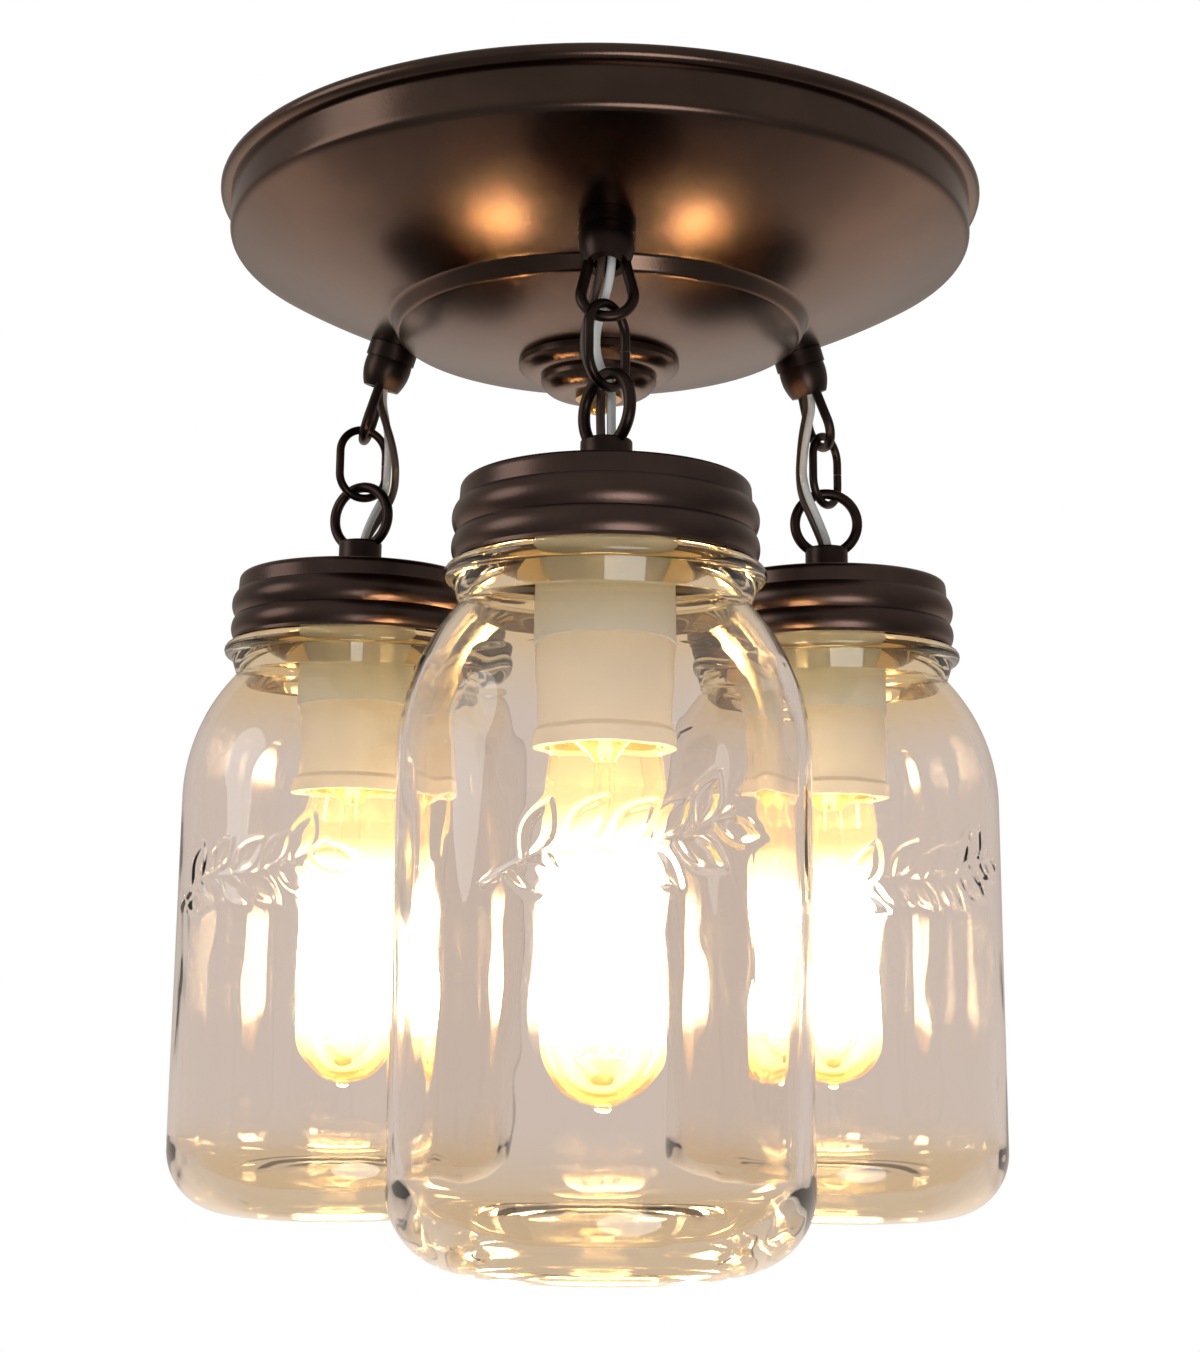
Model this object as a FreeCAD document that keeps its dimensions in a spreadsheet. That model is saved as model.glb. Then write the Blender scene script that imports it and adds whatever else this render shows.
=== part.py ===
import FreeCAD, Part
import math
import os
import re

import Sketcher

# A semi-flush ceiling light with three canning jars on short chains.
# Millimetres, +Z up. The origin is on the light's axis in the plane of the ceiling,
# and the front pendant hangs towards -Y.

SIZES = {
    # spun canopy: rolled lip, side band, domed dish with a stepped middle
    "side_radius": 102.5,
    "lip_overhang": 3,
    "lip_height": 4.5,
    "side_depth": 15,
    "corner_radius": 3,
    "dome_radius": 200,
    "canopy_wall": 1,
    "step_radius": 58,
    "step_run": 1.8,
    "step_depth": 3.5,
    # strap that screws to the ceiling box
    "crossbar_length": 108,
    "crossbar_width": 16,
    "crossbar_thickness": 2,
    "slot_spacing": 88.9,
    "slot_width": 4.8,
    "slot_length": 12,
    "ground_screw_offset": 26,
    "ground_shank_radius": 2,
    "ground_head_radius": 3.8,
    "ground_head_height": 2.4,
    "ground_shank_length": 2,
    # centre stud, stepped bell and knob
    "stud_radius": 3.1,
    "stud_clearance": 0.15,
    "stud_nut_flats": 11,
    "stud_nut_thickness": 4,
    "seat_gap": 0.03,
    "bell_radius": 22.3,
    "bell_wall": 1.2,
    "bell_lip": 1.8,
    "bell_step_radius": 16,
    "bell_step_drop": 4.6,
    "bell_foot_radius": 8.8,
    "bell_depth": 9.6,
    "bell_round": 6.5,
    "finial_collar_radius": 6.4,
    "finial_collar_height": 1.2,
    "finial_radius": 4.6,
    "finial_height": 5.6,
    "finial_cap": 1.4,
    # twist-on wire connectors
    "wire_nut_offset": 24,
    "wire_nut_mouth_depth": 19,
    "wire_nut_radius": 5.6,
    "wire_nut_tip_radius": 3.2,
    "wire_nut_tip_round": 1,
    "wire_nut_height": 16,
    "wire_nut_bore": 4.2,
    "wire_nut_bore_depth": 11,
    # hollow cup with a threaded stem and a wire loop
    "seat_radius": 68.75,
    "stem_radius": 4.9,
    "stem_clearance": 0.2,
    "stem_length": 9,
    "loop_nut_flats": 14,
    "loop_nut_thickness": 3,
    "cup_radius": 7.2,
    "cup_collar_height": 4.4,
    "cup_seam": 0.5,
    "cup_height": 13.2,
    "cup_foot_radius": 5.2,
    "cup_round": 14,
    "cup_bore": 3.2,
    "loop_wire": 2.8,
    "loop_half_width": 6.35,
    "loop_reach": 29.3,
    "loop_root_spread": 4.1,
    "loop_root_depth": 2.5,
    # chain
    "chain_gap": 0.5,
    "link_wire": 2.4,
    "link_width": 16.5,
    "link_length": 23,
    "link_seam": 0.3,
    # round ring on a hollow collar
    "ring_radius": 9.1,
    "ring_wire": 3,
    "ring_lift": 18.7,
    "collar_radius": 6.2,
    "collar_top": 11.4,
    "collar_round": 0.8,
    # threaded tube and nut through the lid
    "nipple_radius": 4.85,
    "nipple_bore": 3.3,
    "nipple_up": 6.5,
    "nipple_down": 10,
    "thread_clearance": 0.1,
    "lid_nut_flats": 14,
    "lid_nut_thickness": 3,
    # two-piece lid
    "disc_clearance": 0.1,
    "disc_thickness": 0.8,
    "disc_bead_radius": 22,
    "disc_bead_width": 1.6,
    "disc_bead_height": 0.4,
    "band_thickness": 0.5,
    "band_flange_radius": 27.5,
    "band_shoulder_radius": 34.3,
    "band_shoulder_round": 2,
    "band_height": 19,
    "rib_round": 5.6,
    "first_rib_top": 4.6,
    "second_rib_top": 12,
    "second_rib_foot": 18.2,
    "first_valley_radius": 34.5,
    "second_valley_radius": 35,
    "third_valley_radius": 35.5,
    # quart jar
    "seal_gap": 0.2,
    "jar_height": 175,
    "mouth_radius": 29.8,
    "rim_round": 1.2,
    "finish_radius": 33,
    "bead_radius": 37.8,
    "bead_drop": 20.8,
    "bead_half": 2.1,
    "neck_radius": 34,
    "neck_bore": 30.6,
    "body_radius": 48,
    "shoulder_round": 52,
    "shoulder_drop": 63,
    "heel_round": 17,
    "jar_wall": 3,
    "base_thickness": 6,
    "foot_land": 3,
    "push_up": 2.5,
    "push_up_run": 4,
    # lamp holder
    "socket_drop": 4.2,
    "cap_radius": 16.6,
    "cap_round": 3,
    "cap_length": 33,
    "cap_wall": 2,
    "socket_fit": 0.15,
    "terminal_drop": 16,
    "socket_radius": 15.8,
    "socket_length": 57.8,
    "socket_rim_radius": 17.1,
    "socket_rim_height": 3.6,
    "socket_rim_slope": 1.2,
    "socket_floor": 1.6,
    "shell_radius": 13.35,
    "shell_thickness": 0.4,
    "shell_short": 4,
    "contact_hole_radius": 6,
    # tubular filament bulb
    "base_clearance": 0.35,
    "bulb_base_thickness": 0.5,
    "base_tip_gap": 0.5,
    "base_tip_radius": 4,
    "base_tip_height": 1,
    "base_cone_height": 4,
    "base_short": 0.6,
    "glass_fit": 0.2,
    "glass_overlap": 5,
    "glass_flare": 8,
    "glass_radius": 13.8,
    "glass_wall": 0.9,
    "glass_length": 80,
    "nib_radius": 1.5,
    "nib_length": 1.2,
    "flare_fit": 0.25,
    "flare_height": 9,
    "stem_rod_radius": 2.6,
    "stem_rod_length": 13,
    "mount_rod_radius": 0.9,
    "cage_radius": 6.5,
    "cage_wire": 0.6,
    "cage_top": 26,
    "cage_length": 41,
    "hook_wire": 0.5,
    "hook_gap": 0.08,
    # leads
    "lead_diameter": 2.2,
    "lead_pitch": 2.5,
    # where the pendants hang, and which way each loop, link and ring faces
    "front_angle": 270,
    "left_angle": 150,
    "right_angle": 30,
    "front_loop_angle": 0,
    "left_loop_angle": 90,
    "right_loop_angle": 108,
    "front_link_angle": 230,
    "left_link_angle": 205,
    "right_link_angle": 232,
    "front_ring_angle": -55,
    "left_ring_angle": -28,
    "right_ring_angle": -5,
}

PENDANTS = ("front", "left", "right")
CAGE_STRANDS = 10
HOOKS = CAGE_STRANDS // 2
CW, CCW = "clockwise", "counterclockwise"

doc = FreeCAD.newDocument("jar_ceiling_light")
sheet = doc.addObject("Spreadsheet::Sheet", "size")
for row, (alias, number) in enumerate(SIZES.items(), 1):
    sheet.set(f"A{row}", str(number))
    sheet.setAlias(f"A{row}", alias)
doc.recompute()

SIZE_NAME = re.compile(r"[a-z][a-z_]*")
nodes = []


def bound(text):
    """The expression with every size read from the sheet."""
    return SIZE_NAME.sub(lambda word: f"size.{word[0]}" if word[0] in SIZES else word[0], text)


def value(text):
    """What an expression comes to, as a plain number."""
    result = sheet.evalExpression(bound(text))
    return float(getattr(result, "Value", result))


def keep(piece, label):
    """Name a finished sub-part."""
    piece.Label = label
    nodes.append(piece)
    return piece


# placements as expressions


def shift(x="0", y="0", z="0"):
    return f"create(<<placement>>; create(<<vector>>; {x}; {y}; {z}); create(<<rotation>>; 0; 0; 0))"


def spin(angle, axis="0; 0; 1"):
    rotation = f"create(<<rotation>>; create(<<vector>>; {axis}); {angle})"
    return f"create(<<placement>>; create(<<vector>>; 0; 0; 0); {rotation})"


def place(piece, *steps):
    piece.setExpression("Placement", bound(" * ".join(steps)))
    return piece


LIP_RADIUS = "(side_radius + lip_overhang)"

# The dish is part of a sphere about a point above the ceiling.
DOME_CENTRE = "(sqrt(dome_radius^2 - side_radius^2) - side_depth)"


def dome(radius_from_axis, sphere="dome_radius"):
    """Height of a sphere about the dish's centre, at a distance from the axis."""
    return f"({DOME_CENTRE} - sqrt(({sphere})^2 - ({radius_from_axis})^2))"


# Each cup stands square on the dish, so its axis leans outwards by the dish's own slope.
LEAN = "asin(seat_radius / dome_radius)"
LEAN_SINE = "(seat_radius / dome_radius)"
LEAN_COSINE = "sqrt(1 - (seat_radius / dome_radius)^2)"
PIVOT_RADIUS = f"(seat_radius + loop_reach * {LEAN_SINE})"
PIVOT_HEIGHT = f"({dome('seat_radius')} - loop_reach * {LEAN_COSINE})"

# Heights down the chain, each from the wire that carries it.
LINK_TOP = f"({PIVOT_HEIGHT} + (loop_wire + link_wire) / 2 + chain_gap)"
LINK_BOTTOM = f"({LINK_TOP} - link_length + link_wire)"
RING_TOP = f"({LINK_BOTTOM} + (link_wire + ring_wire) / 2 + chain_gap)"
LID_TOP = f"({RING_TOP} - ring_radius - ring_lift)"


def at_seat(name, turn=None):
    """On the dish where a cup sits, with +Z along the cup's axis into the canopy."""
    seat = shift("seat_radius", "0", dome("seat_radius"))
    steps = [spin(f"{name}_angle"), seat, spin(f"-{LEAN}", "0; 1; 0")]
    return steps + [spin(f"{turn} - {name}_angle")] if turn else steps


def on_pendant(name, height, turn="0"):
    """On a pendant's upright axis, with the local X axis at the given bearing."""
    return [spin(f"{name}_angle"), shift(PIVOT_RADIUS, "0", height), spin(f"{turn} - {name}_angle")]


# sketches


def new_sketch(body, plane_role, name):
    sketch = body.newObject("Sketcher::SketchObject", name)
    plane = next(f for f in body.Origin.OriginFeatures if f.Role == plane_role)
    sketch.AttachmentSupport = [(plane, "")]
    sketch.MapMode = "FlatFace"
    return sketch


def tie(sketch, name, kind, *where_and_expression):
    """Add a dimension to a sketch and bind it to an expression."""
    *where, expression = where_and_expression
    index = sketch.addConstraint(Sketcher.Constraint(kind, *where, value(expression)))
    sketch.renameConstraint(index, name)
    sketch.setExpression(f"Constraints.{name}", bound(expression))


def arc_between(start, end, radius, way):
    """The minor arc from start to end that turns the given way."""
    chord = end - start
    middle = (start + end) / 2
    rise = math.sqrt(max(radius**2 - (chord.Length / 2) ** 2, 0))
    left = FreeCAD.Vector(-chord.y, chord.x, 0).normalize()
    centre = middle + left * (rise if way == CCW else -rise)
    first, last = (start, end) if way == CCW else (end, start)
    angles = [math.atan2(p.y - centre.y, p.x - centre.x) for p in (first, last)]
    if angles[1] < angles[0]:
        angles[1] += 2 * math.pi
    return Part.ArcOfCircle(Part.Circle(centre, FreeCAD.Vector(0, 0, 1), radius), *angles)


def draw(sketch, points, closed=True):
    """Draw lines and arcs through points of (x, y) or (x, y, arc radius, way round)."""
    places = [FreeCAD.Vector(value(p[0]), value(p[1]), 0) for p in points]
    count = len(points) if closed else len(points) - 1
    ends = []
    for i in range(count):
        start, end = places[i], places[(i + 1) % len(places)]
        if len(points[i]) == 2:
            index = sketch.addGeometry(Part.LineSegment(start, end))
            ends.append((index, 1, 2))
        else:
            radius, way = points[i][2:]
            index = sketch.addGeometry(arc_between(start, end, value(radius), way))
            ends.append((index, 1, 2) if way == CCW else (index, 2, 1))
    for i in range(count if closed else count - 1):
        (this, _, last), (following, first, _) = ends[i], ends[(i + 1) % count]
        sketch.addConstraint(Sketcher.Constraint("Coincident", this, last, following, first))
    for i, point in enumerate(points):
        index, corner = (ends[i][0], ends[i][1]) if i < count else (ends[-1][0], ends[-1][2])
        if point[0] == "0":
            sketch.addConstraint(Sketcher.Constraint("PointOnObject", index, corner, -2))
        else:
            tie(sketch, f"across_{i}", "DistanceX", -1, 1, index, corner, point[0])
        if point[1] == "0":
            sketch.addConstraint(Sketcher.Constraint("PointOnObject", index, corner, -1))
        else:
            tie(sketch, f"up_{i}", "DistanceY", -1, 1, index, corner, point[1])
        if len(point) > 2:
            tie(sketch, f"round_{i}", "Radius", ends[i][0], point[2])


def draw_circle(sketch, x, y, radius):
    centre = FreeCAD.Vector(value(x), value(y), 0)
    index = sketch.addGeometry(Part.Circle(centre, FreeCAD.Vector(0, 0, 1), value(radius)))
    if x == "0":
        sketch.addConstraint(Sketcher.Constraint("PointOnObject", index, 3, -2))
    else:
        tie(sketch, "across", "DistanceX", -1, 1, index, 3, x)
    if y == "0":
        sketch.addConstraint(Sketcher.Constraint("PointOnObject", index, 3, -1))
    else:
        tie(sketch, "up", "DistanceY", -1, 1, index, 3, y)
    tie(sketch, "round", "Radius", index, radius)


def revolve(body, kind, sketch, name):
    feature = body.newObject(f"PartDesign::{kind}", name)
    feature.Profile = sketch
    feature.ReferenceAxis = (sketch, ["V_Axis"])
    feature.Angle = 360
    return feature


def lathe(name, outline):
    """A turned piece, from its half section."""
    body = doc.addObject("PartDesign::Body", name)
    section = new_sketch(body, "XZ_Plane", f"{name}_section")
    draw(section, outline)
    revolve(body, "Revolution", section, f"{name}_turned")
    return body


def bore(body, name, outline):
    """Turn a hole out of a body."""
    section = new_sketch(body, "XZ_Plane", f"{name}_bore")
    draw(section, outline)
    revolve(body, "Groove", section, f"{name}_bored")


def bend_wire(body, name, route, section_plane, section_at, wire, lift="0"):
    """Sweep a round wire along lines and arcs drawn in the body's XZ plane."""
    path = new_sketch(body, "XZ_Plane", f"{name}_path")
    draw(path, route, closed=False)
    section = new_sketch(body, section_plane, f"{name}_section")
    section.setExpression("AttachmentOffset.Base.z", bound(lift))
    draw_circle(section, *section_at, f"{wire} / 2")
    pipe = body.newObject("PartDesign::AdditivePipe", f"{name}_wire")
    pipe.Profile = section
    pipe.Spine = (path, [f"Edge{i + 1}" for i in range(len(route) - 1)])
    return pipe


def hex_nut(name, flats, hole, thickness):
    """A plain hexagon nut that stands on Z = 0."""
    blank = doc.addObject("Part::Prism", f"{name}_blank")
    blank.Polygon = 6
    blank.setExpression("Circumradius", bound(f"{flats} / sqrt(3)"))
    blank.setExpression("Height", bound(thickness))
    tap = doc.addObject("Part::Cylinder", f"{name}_hole")
    tap.setExpression("Radius", bound(hole))
    tap.setExpression("Height", bound(thickness))
    nut = doc.addObject("Part::Cut", name)
    nut.Base = blank
    nut.Tool = tap
    return nut


def group(name, pieces):
    compound = doc.addObject("Part::Compound", name)
    compound.Links = pieces
    return keep(compound, name)


# ceiling side

STUD_HOLE = "(stud_radius + stud_clearance)"
BELL_TOP = f"({dome('bell_radius - bell_wall', 'dome_radius + step_depth')} - seat_gap)"
FINIAL_TOP = f"({BELL_TOP} - bell_depth)"


def make_canopy():
    fall = "sqrt((dome_radius - corner_radius)^2 - (side_radius - corner_radius)^2)"
    corner = f"{DOME_CENTRE} - {fall}"
    reach = "(side_radius - corner_radius) / (dome_radius - corner_radius)"
    drop = f"{fall} / (dome_radius - corner_radius)"
    middle = "dome_radius + step_depth"
    inside = "dome_radius - canopy_wall"
    inside_middle = f"{middle} - canopy_wall"
    step_foot = "step_radius - step_run"
    inner_step = "step_radius - canopy_wall"
    inner_foot = f"{step_foot} - canopy_wall"
    inner_edge = f"{DOME_CENTRE} - {drop} * ({inside})"
    lip_middle = f"{LIP_RADIUS} - lip_height / 2"
    dish = lathe("canopy_dish", [
        ("side_radius - canopy_wall", "0"),
        (lip_middle, "0", "lip_height / 2", CW),
        (LIP_RADIUS, "-lip_height / 2", "lip_height / 2", CW),
        (lip_middle, "-lip_height"),
        ("side_radius", "-lip_height"),
        ("side_radius", corner, "corner_radius", CW),
        (f"{reach} * dome_radius", f"{DOME_CENTRE} - {drop} * dome_radius", "dome_radius", CW),
        ("step_radius", dome("step_radius")),
        (step_foot, dome(step_foot, middle), middle, CW),
        (STUD_HOLE, dome(STUD_HOLE, middle)),
        (STUD_HOLE, dome(STUD_HOLE, inside_middle), inside_middle, CCW),
        (inner_foot, dome(inner_foot, inside_middle)),
        (inner_step, dome(inner_step, inside), inside, CCW),
        (f"{reach} * ({inside})", inner_edge, "corner_radius - canopy_wall", CCW),
        ("side_radius - canopy_wall", corner),
    ])
    holes = []
    for name in PENDANTS:
        hole = doc.addObject("Part::Cylinder", f"stem_hole_{name}")
        hole.setExpression("Radius", bound("stem_radius + stem_clearance"))
        hole.setExpression("Height", bound("4 * canopy_wall"))
        place(hole, *at_seat(name), shift("0", "0", "-canopy_wall"))
        holes.append(hole)
    drill = doc.addObject("Part::MultiFuse", "stem_holes")
    drill.Shapes = holes
    canopy = doc.addObject("Part::Cut", "canopy")
    canopy.Base = dish
    canopy.Tool = drill
    keep(canopy, "canopy")


def crossbar_hole(name, radius, x):
    hole = doc.addObject("Part::Cylinder", name)
    hole.setExpression("Radius", bound(radius))
    hole.setExpression("Height", bound("crossbar_thickness"))
    return place(hole, shift(x, "0", "-crossbar_thickness"))


def make_crossbar():
    strap = doc.addObject("Part::Box", "crossbar_strap")
    strap.setExpression("Length", bound("crossbar_length"))
    strap.setExpression("Width", bound("crossbar_width"))
    strap.setExpression("Height", bound("crossbar_thickness"))
    place(strap, shift("-crossbar_length / 2", "-crossbar_width / 2", "-crossbar_thickness"))
    cuts = [
        crossbar_hole("stud_tap", STUD_HOLE, "0"),
        crossbar_hole("ground_tap", "ground_shank_radius + stud_clearance", "ground_screw_offset"),
    ]
    for side, sign in (("left", "-1"), ("right", "1")):
        middle = f"{sign} * slot_spacing / 2"
        half = "(slot_length - slot_width) / 2"
        waist = doc.addObject("Part::Box", f"slot_waist_{side}")
        waist.setExpression("Length", bound("slot_length - slot_width"))
        waist.setExpression("Width", bound("slot_width"))
        waist.setExpression("Height", bound("crossbar_thickness"))
        place(waist, shift(f"{middle} - {half}", "-slot_width / 2", "-crossbar_thickness"))
        cuts.append(waist)
        cuts.append(crossbar_hole(f"slot_inner_{side}", "slot_width / 2", f"{middle} - {half}"))
        cuts.append(crossbar_hole(f"slot_outer_{side}", "slot_width / 2", f"{middle} + {half}"))
    tool = doc.addObject("Part::MultiFuse", "crossbar_cuts")
    tool.Shapes = cuts
    crossbar = doc.addObject("Part::Cut", "crossbar")
    crossbar.Base = strap
    crossbar.Tool = tool
    keep(crossbar, "crossbar")


def make_ground_screw():
    screw = lathe("ground_screw", [
        ("0", "ground_shank_length"),
        ("ground_shank_radius", "ground_shank_length"),
        ("ground_shank_radius", "0"),
        ("ground_head_radius", "0"),
        ("ground_head_radius", "-ground_head_height / 2", "ground_head_height", CW),
        ("ground_head_radius - ground_head_height / 2", "-ground_head_height"),
        ("0", "-ground_head_height"),
    ])
    place(screw, shift("ground_screw_offset", "0", "-crossbar_thickness"))
    keep(screw, "ground_screw")


def make_centre_stud():
    stud = doc.addObject("Part::Cylinder", "centre_stud")
    foot = f"({FINIAL_TOP} - finial_height + finial_cap)"
    stud.setExpression("Radius", bound("stud_radius"))
    stud.setExpression("Height", bound(f"-{foot}"))
    place(stud, shift("0", "0", foot))
    keep(stud, "centre_stud")


def make_lock_nuts():
    nuts = [hex_nut("stud_nut", "stud_nut_flats", STUD_HOLE, "stud_nut_thickness")]
    place(nuts[0], shift("0", "0", "-crossbar_thickness - stud_nut_thickness"))
    corner = "(loop_nut_flats / sqrt(3))"
    inside = "(dome_radius - canopy_wall)"
    # a flat nut bears on the hollow inside of the dish with its corners
    seat = f"dome_radius - sqrt({inside}^2 - {corner}^2) + seat_gap"
    hole = "stem_radius + thread_clearance"
    for name in PENDANTS:
        nut = hex_nut(f"loop_nut_{name}", "loop_nut_flats", hole, "loop_nut_thickness")
        nuts.append(place(nut, *at_seat(name), shift("0", "0", seat)))
    group("lock_nuts", nuts)


def make_bell_cap():
    inner_step = "bell_step_radius - bell_wall"
    bell = lathe("bell_cap", [
        ("bell_radius - bell_wall", "0"),
        ("bell_radius", "0"),
        ("bell_radius", "-bell_lip", "bell_round", CW),
        ("bell_step_radius", "-bell_step_drop"),
        ("bell_step_radius", "-bell_step_drop - bell_lip", "bell_round", CW),
        ("bell_foot_radius", "-bell_depth"),
        (STUD_HOLE, "-bell_depth"),
        (STUD_HOLE, "-bell_depth + bell_wall"),
        ("bell_foot_radius - bell_wall", "-bell_depth + bell_wall"),
        (inner_step, "-bell_step_drop"),
        ("bell_radius - bell_wall", "-bell_lip"),
    ])
    keep(place(bell, shift("0", "0", BELL_TOP)), "bell_cap")


def make_finial_knob():
    knob = lathe("finial_knob", [
        (STUD_HOLE, "0"),
        ("finial_collar_radius", "0"),
        ("finial_collar_radius", "-finial_collar_height"),
        ("finial_radius", "-finial_collar_height", "finial_radius", CW),
        ("0", "-finial_height"),
        ("0", "-finial_height + finial_cap"),
        (STUD_HOLE, "-finial_height + finial_cap"),
    ])
    keep(place(knob, shift("0", "0", FINIAL_TOP)), "finial_knob")


def make_wire_nuts():
    nuts = []
    for colour, sign in (("white", "1"), ("brown", "-1")):
        nut = lathe(f"wire_nut_{colour}", [
            ("wire_nut_bore", "0"),
            ("wire_nut_radius", "0"),
            ("wire_nut_radius", "wire_nut_height / 4"),
            ("wire_nut_tip_radius", "wire_nut_height - wire_nut_tip_round", "wire_nut_tip_round", CCW),
            ("wire_nut_tip_radius - wire_nut_tip_round", "wire_nut_height"),
            ("0", "wire_nut_height"),
            ("0", "wire_nut_bore_depth + wire_nut_tip_round"),
            ("wire_nut_tip_radius - wire_nut_tip_round", "wire_nut_bore_depth"),
        ])
        nuts.append(place(nut, shift("0", f"{sign} * wire_nut_offset", "-wire_nut_mouth_depth")))
    group("wire_nuts", nuts)


# pendants

def make_canopy_loop(name):
    label = f"canopy_loop_{name}"
    body = lathe(label, [
        ("0", "stem_length"),
        ("stem_radius", "stem_length"),
        ("stem_radius", "0"),
        ("cup_radius", "0"),
        ("cup_radius", "-cup_collar_height"),
        ("cup_radius - cup_seam", "-cup_collar_height", "cup_round", CW),
        ("cup_foot_radius", "-cup_height"),
        ("0", "-cup_height"),
    ])
    # each limb of the loop runs straight from the cup's foot to touch the bottom bend
    across = "loop_root_spread"
    above = "(loop_reach - loop_half_width - cup_height + loop_root_depth)"
    square = f"({across}^2 + {above}^2)"
    tangent = f"sqrt({square} - loop_half_width^2)"
    touch_x = f"loop_half_width * (loop_half_width * {across} + {tangent} * {above}) / {square}"
    touch_z = f"loop_half_width * (loop_half_width * {above} - {tangent} * {across}) / {square}"
    limb = bend_wire(body, label, [
        ("0", "-loop_reach", "loop_half_width", CCW),
        (touch_x, f"loop_half_width - loop_reach + {touch_z}"),
        ("loop_root_spread", "loop_root_depth - cup_height"),
    ], "YZ_Plane", ("0", "-loop_reach"), "loop_wire")
    mirror = body.newObject("PartDesign::Mirrored", f"{label}_limbs")
    mirror.Originals = [limb]
    mirror.MirrorPlane = (next(f for f in body.Origin.OriginFeatures if f.Role == "YZ_Plane"), [""])
    body.Tip = mirror
    bore(body, label, [
        ("0", "stem_length"),
        ("cup_bore", "stem_length"),
        ("cup_bore", "-cup_height - loop_wire"),
        ("0", "-cup_height - loop_wire"),
    ])
    place(body, *at_seat(name, f"{name}_loop_angle"))
    keep(body, label)


def make_chain_link(name):
    label = f"chain_link_{name}"
    body = doc.addObject("PartDesign::Body", label)
    half = "((link_width - link_wire) / 2)"
    run = "((link_length - link_width) / 2)"
    bend_wire(body, label, [
        (f"-{half}", "link_seam / 2"),
        (f"-{half}", run, half, CW),
        ("0", f"{run} + {half}", half, CW),
        (half, run),
        (half, f"-{run}", half, CW),
        ("0", f"-{run} - {half}", half, CW),
        (f"-{half}", f"-{run}"),
        (f"-{half}", "-link_seam / 2"),
    ], "XY_Plane", (f"-{half}", "0"), "link_wire", "link_seam / 2")
    place(body, *on_pendant(name, f"({LINK_TOP} + {LINK_BOTTOM}) / 2", f"{name}_link_angle"))
    keep(body, label)


def make_lid_ring(name):
    label = f"lid_ring_{name}"
    body = lathe(label, [
        ("0", "0"),
        ("collar_radius", "0"),
        ("collar_radius", "collar_top - collar_round", "collar_round", CCW),
        ("collar_radius - collar_round", "collar_top"),
        ("0", "collar_top"),
    ])
    wire = new_sketch(body, "XY_Plane", f"{label}_wire")
    wire.setExpression("AttachmentOffset.Base.z", bound("ring_lift"))
    draw_circle(wire, "ring_radius", "0", "ring_wire / 2")
    revolve(body, "Revolution", wire, f"{label}_ring")
    tap = "nipple_radius + thread_clearance"
    bore(body, label, [
        ("0", "0"),
        (tap, "0"),
        (tap, "nipple_up + thread_clearance"),
        ("nipple_bore", "nipple_up + thread_clearance"),
        ("nipple_bore", "collar_top + ring_wire"),
        ("0", "collar_top + ring_wire"),
    ])
    keep(place(body, *on_pendant(name, LID_TOP, f"{name}_ring_angle")), label)


def make_lid_fixing(name):
    nipple = lathe(f"lid_nipple_{name}", [
        ("nipple_bore", "nipple_up"),
        ("nipple_radius", "nipple_up"),
        ("nipple_radius", "-nipple_down"),
        ("nipple_bore", "-nipple_down"),
    ])
    keep(place(nipple, *on_pendant(name, LID_TOP)), f"lid_nipple_{name}")
    hole = "nipple_radius + thread_clearance"
    nut = hex_nut(f"lid_nut_{name}", "lid_nut_flats", hole, "lid_nut_thickness")
    place(nut, *on_pendant(name, f"{LID_TOP} - disc_thickness - lid_nut_thickness"))
    keep(nut, f"lid_nut_{name}")


def make_lid_disc(name):
    hole = "nipple_radius + thread_clearance"
    edge = "band_shoulder_radius - band_shoulder_round - disc_clearance"
    disc = lathe(f"lid_disc_{name}", [
        (hole, "0"),
        (hole, "-disc_thickness"),
        (edge, "-disc_thickness"),
        (edge, "0"),
        ("disc_bead_radius + disc_bead_width", "0"),
        ("disc_bead_radius", "disc_bead_height"),
        ("disc_bead_radius - disc_bead_width", "0"),
    ])
    keep(place(disc, *on_pendant(name, LID_TOP)), f"lid_disc_{name}")


def make_lid_band(name):
    """A screw band whose skirt swells in two rolled ribs, of one thickness of sheet."""
    flare = [
        ("first_valley_radius", "-first_rib_top"),
        ("second_valley_radius", "-second_rib_top"),
        ("third_valley_radius", "-second_rib_foot"),
    ]
    shoulder = "band_shoulder_radius"
    outer = [
        ("band_flange_radius", "band_thickness"),
        (f"{shoulder} - band_shoulder_round", "band_thickness", "band_shoulder_round", CW),
        (shoulder, "band_thickness - band_shoulder_round"),
        (*flare[0], "rib_round", CW),
        (*flare[1], "rib_round", CW),
        flare[2],
        ("third_valley_radius", "-band_height"),
    ]
    inner = [(f"{r} - band_thickness", z) for r, z in flare]
    inner_round = "band_shoulder_round - band_thickness"
    inside = [
        ("third_valley_radius - band_thickness", "-band_height"),
        (*inner[2], "rib_round", CCW),
        (*inner[1], "rib_round", CCW),
        inner[0],
        (f"{shoulder} - band_thickness", "band_thickness - band_shoulder_round", inner_round, CCW),
        (f"{shoulder} - band_shoulder_round", "0"),
        ("band_flange_radius", "0"),
    ]
    band = lathe(f"lid_band_{name}", outer + inside)
    keep(place(band, *on_pendant(name, LID_TOP)), f"lid_band_{name}")


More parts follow.
